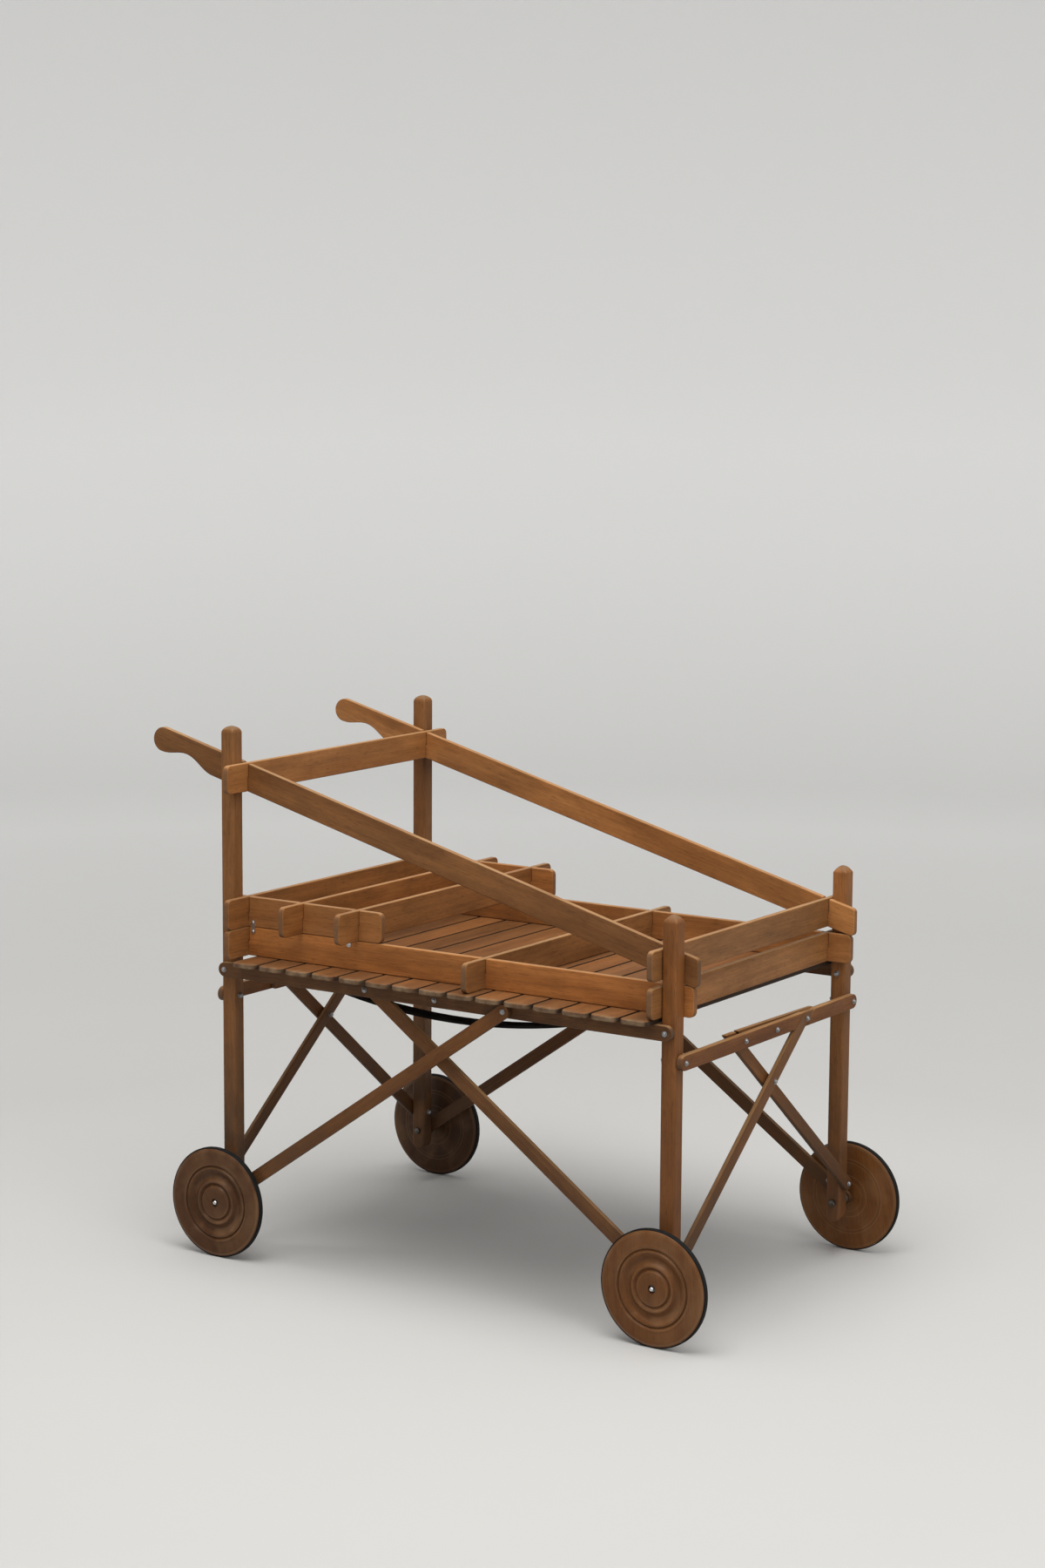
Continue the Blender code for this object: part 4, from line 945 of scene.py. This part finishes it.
class WAGON_OT_fit_axles(bpy.types.Operator):
    """Fits the axle bolts: chrome cap, washers, spacers and the hexagon head inside the post"""

    bl_idname = "wagon.fit_axles"
    bl_label = "Fit the axle bolts"

    def execute(self, context):
        looks = context.scene.wagon_looks
        chrome = chrome_finish(looks.metal)
        dull = zinc_finish("dull_steel", STEEL_TONE, STEEL_DULLED)
        shade_and_grease = dark_gap_finish()
        for end, side in CORNERS:
            name = corner_name(end, side)
            centre = middle("axle_" + name)
            post_face = y_face("post_" + name, side)
            matrix = outward_matrix(Vector((centre.x, post_face, centre.z)), (0, side, 0))
            cap_base = abs(y_face("axle_" + name, side) - post_face) - CAP_SINK

            cap = disc_profile(CAP_RADIUS, cap_base - CAP_FOOT, cap_base + CAP_NECK)[:3]
            cap += dome_profile(CAP_BALL_RADIUS, cap_base + CAP_NECK, CAP_BALL_RISE)
            cap_mesh = turned_mesh("cap", cap, CAP_FACETS)
            piece = add_piece("axle_cap_" + name, cap_mesh, chrome, matrix, END_NAMES[end] + "_frame")

            bolt = joined("axle_bolt_" + name, self.bolt_parts(end, side, post_face, cap_base))
            piece = add_piece("axle_bolt_" + name, bolt, dull, matrix, END_NAMES[end] + "_frame")
            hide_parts("axle_" + name)

            # A dark disc at the bottom of the recess round the cap: painted shade, with old grease
            wide = looks.wheel.recess_radius - SEAT_GAP
            disc = disc_profile(wide, cap_base - RECESS_LOW, cap_base - RECESS_HIGH)
            gap = turned_mesh("recess", disc, SPACER_FACETS)
            piece = add_piece("painted_shade_cap_recess_" + name, gap, shade_and_grease, matrix, "road_wheel_" + name)
        return {"FINISHED"}

    def bolt_parts(self, end, side, post_face, cap_base):
        """Shank, hexagon head and the spacers beside the side lath, out along +Z from the post's face."""
        name = corner_name(end, side)
        start = -abs(y_face("axle_" + name, -side) - post_face)
        shank = turned_mesh("shank", disc_profile(SHANK_RADIUS, start + SHANK_INSET, cap_base), SHANK_FACETS)
        head = hex_mesh("head", AXLE_HEAD_FLATS, AXLE_HEAD_HEIGHT, 0)
        head_place = Matrix.Translation((0, 0, start + AXLE_HEAD_HEIGHT)) @ Matrix.Rotation(math.pi, 4, "X")
        parts = [(shank, UNMOVED), (head, head_place)]
        brace = f"side_brace_{SIDE_NAMES[side]}_" + ("outer" if end == side else "inner")
        lath_in, lath_out = self.faces_at(brace, post_face, side, middle("axle_" + name))
        wheel_in = abs(y_face("wheel_" + name, -side) - post_face)
        for first, last in ((POST_GAP, lath_in - LATH_GAP), (lath_out + LATH_GAP, wheel_in - POST_GAP)):
            count = max(1, round((last - first) / SPACER_THICKNESS))
            step = (last - first) / count
            for index in range(count):
                profile = washer_profile(SPACER_RADIUS, step * SPACER_FILL_SHARE, SPACER_HOLE)
                spacer = turned_mesh("washer", profile, SPACER_FACETS, closed=True)
                parts.append((spacer, Matrix.Translation((0, 0, first + index * step))))
        return parts

    def faces_at(self, brace, post_face, side, centre):
        """How far out the lath's two faces are where the axle goes through it."""
        points = vertices(brace)
        near = points[np.hypot(points[:, 0] - centre.x, points[:, 2] - centre.z) < LATH_HALF_WIDTH]
        out = (near[:, 1] - post_face) * side
        return float(out.min()), float(out.max())


class BoltKit:
    """Collects bolt heads, washers and nuts, then joins them into one piece for each body."""

    def __init__(self, metal, material):
        profile = [(0, HEAD_BASE), (metal.bolt_radius, HEAD_BASE), (metal.bolt_radius, HEAD_SHOULDER)]
        profile += dome_profile(metal.bolt_radius * HEAD_DOME_SHARE, HEAD_SHOULDER, HEAD_DOME_RISE)
        dome = turned_mesh("dome", profile, HEAD_FACETS)
        ring = washer_profile(metal.washer_radius, WASHER_THICKNESS, WASHER_HOLE)
        washer = turned_mesh("washer", ring, HEAD_FACETS, closed=True)
        stub = turned_mesh("stub", STUB_PROFILE, SMALL_FACETS)
        hexagon = hex_mesh("nut", NUT_FLATS, NUT_HEIGHT, WASHER_THICKNESS)
        self.head = joined("bolt_head", [(dome, UNMOVED), (washer, UNMOVED)])
        self.nut = joined("bolt_nut", [(hexagon, UNMOVED), (washer, UNMOVED), (stub, UNMOVED)])
        self.material = material
        self.placed = {}

    def put(self, kind, body, place, direction, turn=0.0):
        mesh = self.head if kind == "head" else self.nut
        matrix = outward_matrix(Vector(place), direction) @ Matrix.Rotation(turn, 4, "Z")
        self.placed.setdefault(body, []).append((mesh, matrix))

    def finish(self):
        for body, parts in self.placed.items():
            mesh = joined("bolts_" + body, parts)
            piece = add_piece("bolts_" + body, mesh, self.material, UNMOVED, body)


def lath_head(node, end):
    """Middle of a side lath's head, where its bolt goes, as x and z."""
    low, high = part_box(node)
    x = high.x - LATH_HALF_WIDTH if end < 0 else low.x + LATH_HALF_WIDTH
    return x, high.z - LATH_HALF_WIDTH


class WAGON_OT_fit_bolts(bpy.types.Operator):
    """Fits the bolts of bearers, end rails and laths, with washers and nuts"""

    bl_idname = "wagon.fit_bolts"
    bl_label = "Fit the bolts"

    def execute(self, context):
        metal = context.scene.wagon_looks.metal
        kit = BoltKit(metal, zinc_finish("zinc_plate", metal.zinc_tone, ZINC_DULLED))
        for side in (NEAR, FAR):
            self.bolt_bearer(kit, side)
        for end in (REAR, FRONT):
            self.bolt_end(kit, end)
        kit.finish()
        return {"FINISHED"}

    def bolt_bearer(self, kit, side):
        bearer = "bearer_" + SIDE_NAMES[side]
        centre = middle(bearer)
        outer, inner = y_face(bearer, side), y_face(bearer, -side)
        out, back = (0, side, 0), (0, -side, 0)
        kit.put("head", "deck", (centre.x, outer, centre.z), out)
        kit.put("nut", "deck", (centre.x, inner, centre.z), back, turn=0.3)
        for end in (REAR, FRONT):
            post = "post_" + corner_name(end, side)
            post_x = middle(post).x
            kit.put("head", "deck", (post_x, outer, centre.z), out)
            kit.put("nut", END_NAMES[end] + "_frame", (post_x, y_face(post, -side), centre.z), back,
                    turn=0.5 + end)
            is_outer = end == side
            lath = f"side_brace_{SIDE_NAMES[side]}_" + ("outer" if is_outer else "inner")
            x, z = lath_head(lath, end)
            if is_outer:
                kit.put("head", lath, (x, y_face(lath, side), z), out)
                kit.put("nut", "deck", (x, inner, z), back, turn=0.9)
            else:
                kit.put("head", "deck", (x, outer, z), out)
                kit.put("nut", lath, face_place(lath, back, (x, 0, z)), back, turn=0.2)

    def bolt_end(self, kit, end):
        end_name = END_NAMES[end]
        body = end_name + "_frame"
        rail, packer = "end_rail_" + end_name, "end_packer_" + end_name
        face, packer_back = x_face(rail, end), x_face(packer, -end)
        height = middle(rail).z
        out, back = (end, 0, 0), (-end, 0, 0)
        outer, inner = f"end_brace_{end_name}_outer", f"end_brace_{end_name}_inner"
        lines = {}
        for lath, side in ((outer, -end), (inner, end)):
            post = "post_" + corner_name(end, side)
            post_y, post_inner = middle(post).y, x_face(post, -end)
            lines[lath] = self.middle_line(lath, post_y)
            foot_y, foot_z = lines[lath][0]
            kit.put("head", body, (face, post_y, height), out)
            kit.put("nut", body, (post_inner, post_y, height), back, turn=0.4)
            kit.put("head", body, face_place(lath, out, (0, foot_y, foot_z)), out)
            kit.put("nut", body, (post_inner, foot_y, foot_z), back, turn=1.1)
        outer_y = self.place_at(lines[outer], height)
        inner_y = self.place_at(lines[inner], height)
        between_y = (outer_y + inner_y) / 2
        kit.put("head", body, (face, outer_y, height), out)
        kit.put("nut", body, (packer_back, outer_y, height), back, turn=0.1)
        kit.put("head", body, (face, inner_y, height), out)
        kit.put("nut", body, face_place(inner, back, (0, inner_y, height)), back, turn=0.7)
        kit.put("head", body, (face, between_y, height), out)
        kit.put("nut", body, (packer_back, between_y, height), back, turn=0.8)
        crossing = self.crossing(lines[outer], lines[inner])
        kit.put("head", body, face_place(outer, out, (0, *crossing)), out)
        kit.put("nut", body, face_place(inner, back, (0, *crossing)), back, turn=0.6)

    def middle_line(self, lath, post_y):
        """Foot and head of an end lath's middle line, each as (y, z)."""
        points = vertices(lath)
        top = points[:, 2].max()
        head_y = points[points[:, 2] > top - LEVEL_CUT_SLACK][:, 1].mean()
        return (post_y, float(points[:, 2].min()) + LATH_HALF_WIDTH), (float(head_y), float(top))

    def place_at(self, line, height):
        (foot_y, foot_z), (head_y, head_z) = line
        return foot_y + (head_y - foot_y) * (height - foot_z) / (head_z - foot_z)

    def crossing(self, first, second):
        """Where two middle lines meet, as (y, z)."""
        height = first[0][1]
        gap = self.place_at(first, height) - self.place_at(second, height)
        slant = [(head[0] - foot[0]) / (head[1] - foot[1]) for foot, head in (first, second)]
        height += gap / (slant[1] - slant[0])
        return self.place_at(first, height), height


class WAGON_OT_fit_clips(bpy.types.Operator):
    """Fits the small zinc plates that tie the tray to the crate"""

    bl_idname = "wagon.fit_clips"
    bl_label = "Fit the tray clips"

    def execute(self, context):
        clip = self.clip()
        parts = []
        for side in (NEAR, FAR):
            crate_board = "crate_board_" + SIDE_NAMES[side]
            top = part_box(crate_board)[1].z + SEAT_GAP
            for cross, offset in CLIP_OFFSETS.items():
                place = Vector((middle(cross).x + offset, y_face(crate_board, side), top))
                parts.append((clip, outward_matrix(place, (0, side, 0))))
        mesh = joined("tray_clips", parts)
        zinc = zinc_finish("zinc_clip", CLIP_TONE, CLIP_DULLED)
        piece = add_piece("tray_clips", mesh, zinc, UNMOVED, "deck")
        return {"FINISHED"}

    def clip(self):
        """A thin plate with rounded ends and a screw head near each end, lying in XY."""
        screw_y = CLIP_HALF_LENGTH - CLIP_HALF_WIDTH
        ring = []
        for centre, start in ((screw_y, 0), (-screw_y, math.pi)):
            for step in range(CLIP_END_STEPS + 1):
                angle = start + math.pi * step / CLIP_END_STEPS
                ring.append((CLIP_HALF_WIDTH * math.cos(angle), centre + CLIP_HALF_WIDTH * math.sin(angle)))
        plate = extruded_mesh("clip_plate", ring, 0, CLIP_THICKNESS)
        dome = dome_profile(CLIP_SCREW_RADIUS, CLIP_THICKNESS, CLIP_SCREW_RISE, 4)
        screw = turned_mesh("screw", [(0, CLIP_THICKNESS), *dome], SMALL_FACETS)
        screws = [(screw, Matrix.Translation((0, y, 0))) for y in (screw_y, -screw_y)]
        return joined("clip", [(plate, UNMOVED), *screws])


class WAGON_OT_hang_strap(bpy.types.Operator):
    """Hangs the doubled webbing strap in its arc under the deck"""

    bl_idname = "wagon.hang_strap"
    bl_label = "Hang the strap"

    def execute(self, context):
        low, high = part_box("strap")
        rows = self.centre_line(vertices("strap"))
        middle_y = (low.y + high.y) / 2
        section = self.section((high.y - low.y) * STRAP_WIDTH_SHARE / 2, STRAP_THICKNESS / 2)
        rings = []
        for index, (x, z) in enumerate(rows):
            before = Vector(rows[max(index - 1, 0)])
            after = Vector(rows[min(index + 1, len(rows) - 1)])
            slope = (after - before).normalized()
            roll = STRAP_ROLL * math.sin(STRAP_ROLL_PER_METRE * x + STRAP_ROLL_START)
            ring = []
            for across, up in section:
                side = across * math.cos(roll) - up * math.sin(roll)
                lift = across * math.sin(roll) + up * math.cos(roll)
                ring.append((x - slope.y * lift, middle_y + side, z + slope.x * lift))
            rings.append(ring)
        mesh = lofted_mesh("webbing_strap", rings)
        piece = add_piece("webbing_strap", mesh, webbing_finish(), UNMOVED, "deck")
        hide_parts("strap")
        self.fit_screws(low, high, middle_y, context.scene.wagon_looks.metal)
        return {"FINISHED"}

    def centre_line(self, points):
        """The strap's middle line, just under the top of the CAD band at each place along it."""
        line = []
        for x in sorted({round(float(x), 4) for x in points[:, 0]}):
            here = points[abs(points[:, 0] - x) < COLUMN_SLACK]
            line.append((x, float(here[:, 2].max()) - STRAP_THICKNESS / 2 - SEAT_GAP))
        smooth = []
        for index in range(len(line) - 1):
            before = line[max(index - 1, 0)][1]
            (start_x, a), (stop_x, b) = line[index], line[index + 1]
            after = line[min(index + 2, len(line) - 1)][1]
            for step in range(STRAP_STEPS):
                share = step / STRAP_STEPS
                z = 0.5 * ((2 * a) + (b - before) * share + (2 * before - 5 * a + 4 * b - after) * share**2
                           + (3 * a - before - 3 * b + after) * share**3)
                smooth.append((start_x + (stop_x - start_x) * share, z))
        smooth.append(line[-1])
        return smooth

    def section(self, half_width, half_thickness):
        """Two layers of webbing with a seam between them, as points round the edge."""
        edge = half_thickness * STRAP_EDGE_SHARE
        points = []
        for sign, layers in ((1, (-1, 1)), (-1, (1, -1))):
            for layer in layers:
                for step in range(STRAP_EDGE_STEPS + 1):
                    angle = math.radians(-90 + 180 * step / STRAP_EDGE_STEPS)
                    x = half_width - edge + edge * math.cos(angle)
                    z = half_thickness / 2 * layer + edge * math.sin(angle) * STRAP_EDGE_STRETCH * sign
                    points.append((x * sign, z))
        return points

    def fit_screws(self, low, high, y, metal):
        dome = dome_profile(STRAP_SCREW_RADIUS, SEAT_GAP, STRAP_SCREW_RISE, 5)
        screw = turned_mesh("screw", [(0, 0), *dome], STRAP_SCREW_FACETS)
        z = high.z - STRAP_THICKNESS - SEAT_GAP
        parts = [(screw, outward_matrix(Vector((x, y, z)), (0, 0, -1)))
                 for x in (low.x + STRAP_SCREW_INSET, high.x - STRAP_SCREW_INSET)]
        mesh = joined("strap_screws", parts)
        zinc = zinc_finish("zinc_plate", metal.zinc_tone, ZINC_DULLED)
        piece = add_piece("strap_screws", mesh, zinc, UNMOVED, "deck")


def camera_at_photo():
    """The photo's viewpoint, found from the wagon's own proportions."""
    azimuth, elevation = math.radians(PHOTO_AZIMUTH), math.radians(PHOTO_ELEVATION)
    rear, front = middle("post_rear_near").x, middle("post_front_near").x
    target = Vector(((rear + front) / 2 + PHOTO_AIM_SHIFT, 0, PHOTO_AIM_HEIGHT))
    back = Vector((math.sin(azimuth) * math.cos(elevation), -math.cos(azimuth) * math.cos(elevation),
                   math.sin(elevation)))
    right = Vector((0, 0, 1)).cross(back).normalized()
    up = back.cross(right)
    turned_right = right * math.cos(PHOTO_ROLL) + up * math.sin(PHOTO_ROLL)
    turned_up = up * math.cos(PHOTO_ROLL) - right * math.sin(PHOTO_ROLL)
    data = bpy.data.cameras.new("photo_camera")
    data.sensor_width = SENSOR_WIDTH
    data.lens = PHOTO_FOCAL_PIXELS / PHOTO_LONG_SIDE * SENSOR_WIDTH
    camera = bpy.data.objects.new("photo_camera", data)
    bpy.context.scene.collection.objects.link(camera)
    turn = Matrix((turned_right, turned_up, back)).transposed().to_4x4()
    camera.matrix_world = Matrix.Translation(target + back * PHOTO_DISTANCE) @ turn
    bpy.context.scene.camera = camera


def soft_lamp(name, power, place, aim, size, tone):
    data = bpy.data.lights.new(name, "AREA")
    data.shape = "RECTANGLE"
    data.size, data.size_y = size
    data.energy = power
    data.color = tone
    lamp = bpy.data.objects.new(name, data)
    bpy.context.scene.collection.objects.link(lamp)
    lamp.matrix_world = outward_matrix(Vector(place), Vector(place) - Vector(aim))


class WAGON_OT_set_stage(bpy.types.Operator):
    """Sets the pale floor and backdrop, the soft studio light and the camera"""

    bl_idname = "wagon.set_stage"
    bl_label = "Set the stage"

    def execute(self, context):
        stage = context.scene.wagon_looks.stage
        self.add_backdrop(stage)
        self.light_world(stage)
        soft_lamp("key_lamp", stage.key_power, *KEY_LAMP)
        soft_lamp("fill_lamp", stage.fill_power, *FILL_LAMP)
        camera_at_photo()
        context.scene.view_settings.view_transform = "Standard"
        return {"FINISHED"}

    def add_backdrop(self, stage):
        """A floor that runs up into a wall in one curve, all round the back."""
        profile = [(0.0, 0.0), (FLOOR_RADIUS / 2, 0.0), (FLOOR_RADIUS, 0.0)]
        for step in range(1, BEND_STEPS + 1):
            angle = 0.5 * math.pi * step / BEND_STEPS
            profile.append((FLOOR_RADIUS + FLOOR_BEND * math.sin(angle), FLOOR_BEND * (1 - math.cos(angle))))
        profile.append((FLOOR_RADIUS + FLOOR_BEND, WALL_TOP))
        mesh = turned_mesh("backdrop", profile, BACKDROP_FACETS)
        finish = Finish("pale_backdrop", roughness=0.9)
        cloud = finish.noise(finish.place, 1.2, detail=4.0)
        tone = tuple(stage.floor_tone)
        deeper = tuple(value * FLOOR_CLOUD_SHARE for value in tone)
        height = finish.part_of(finish.place, "Z")
        colour = finish.mix(finish.span(height, 0.0, 1.2), finish.mix(cloud, tone, deeper), stage.wall_tone)

        # A faint glow far from the wagon that only the camera and mirrored views see
        distance = finish.vectors("LENGTH", finish.place, out="Value")
        higher = finish.span(height, 0.8, 4.0, 0.30, 0.14)
        glow = finish.times(finish.span(distance, 1.5, 5.0), higher)
        path = finish.add("ShaderNodeLightPath")
        seen = finish.sum("ADD", path.outputs["Is Camera Ray"], path.outputs["Is Glossy Ray"])
        seen = finish.sum("ADD", seen, path.outputs["Is Transmission Ray"], clamp=True)
        finish.shader.inputs["Emission Color"].default_value = tuple(stage.wall_tone) + (1.0,)
        finish.feed(finish.shader.inputs["Emission Strength"], finish.times(glow, seen))
        mesh.materials.append(finish.wear(colour))
        backdrop = bpy.data.objects.new("backdrop", mesh)
        bpy.context.scene.collection.objects.link(backdrop)

    def light_world(self, stage):
        world = bpy.data.worlds.new("soft_daylight")
        world.use_nodes = True
        background = world.node_tree.nodes["Background"]
        background.inputs["Color"].default_value = DAYLIGHT_TONE
        background.inputs["Strength"].default_value = stage.daylight
        bpy.context.scene.world = world


class WAGON_PT_looks(bpy.types.Panel):
    """Lists the wagon's finishing steps and their settings"""

    bl_idname = "WAGON_PT_looks"
    bl_label = "Folding wagon"
    bl_space_type = "VIEW_3D"
    bl_region_type = "UI"
    bl_category = "Wagon"

    def draw(self, context):
        looks = context.scene.wagon_looks
        for title, group in (("Wood", looks.wood), ("Wheels", looks.wheel), ("Metal", looks.metal),
                             ("Stage", looks.stage)):
            box = self.layout.box()
            box.label(text=title)
            for name in group.bl_rna.properties.keys():
                if name not in {"rna_type", "name"}:
                    box.prop(group, name)
        for step in STEPS:
            self.layout.operator(step.bl_idname)


STEPS = (
    WAGON_OT_finish_boards,
    WAGON_OT_turn_wheels,
    WAGON_OT_fit_tyres,
    WAGON_OT_fit_axles,
    WAGON_OT_fit_bolts,
    WAGON_OT_fit_clips,
    WAGON_OT_hang_strap,
    WAGON_OT_set_stage,
)
CLASSES = (WoodSettings, WheelSettings, MetalSettings, StageSettings, WagonLooks) + STEPS + (WAGON_PT_looks,)


def register():
    for made in CLASSES:
        bpy.utils.register_class(made)
    bpy.types.Scene.wagon_looks = bpy.props.PointerProperty(type=WagonLooks)


def unregister():
    del bpy.types.Scene.wagon_looks
    for made in reversed(CLASSES):
        bpy.utils.unregister_class(made)


def main():
    register()
    bpy.ops.wagon.finish_boards()
    bpy.ops.wagon.turn_wheels()
    bpy.ops.wagon.fit_tyres()
    bpy.ops.wagon.fit_axles()
    bpy.ops.wagon.fit_bolts()
    bpy.ops.wagon.fit_clips()
    bpy.ops.wagon.hang_strap()
    bpy.ops.wagon.set_stage()


if __name__ == "__main__":
    main()
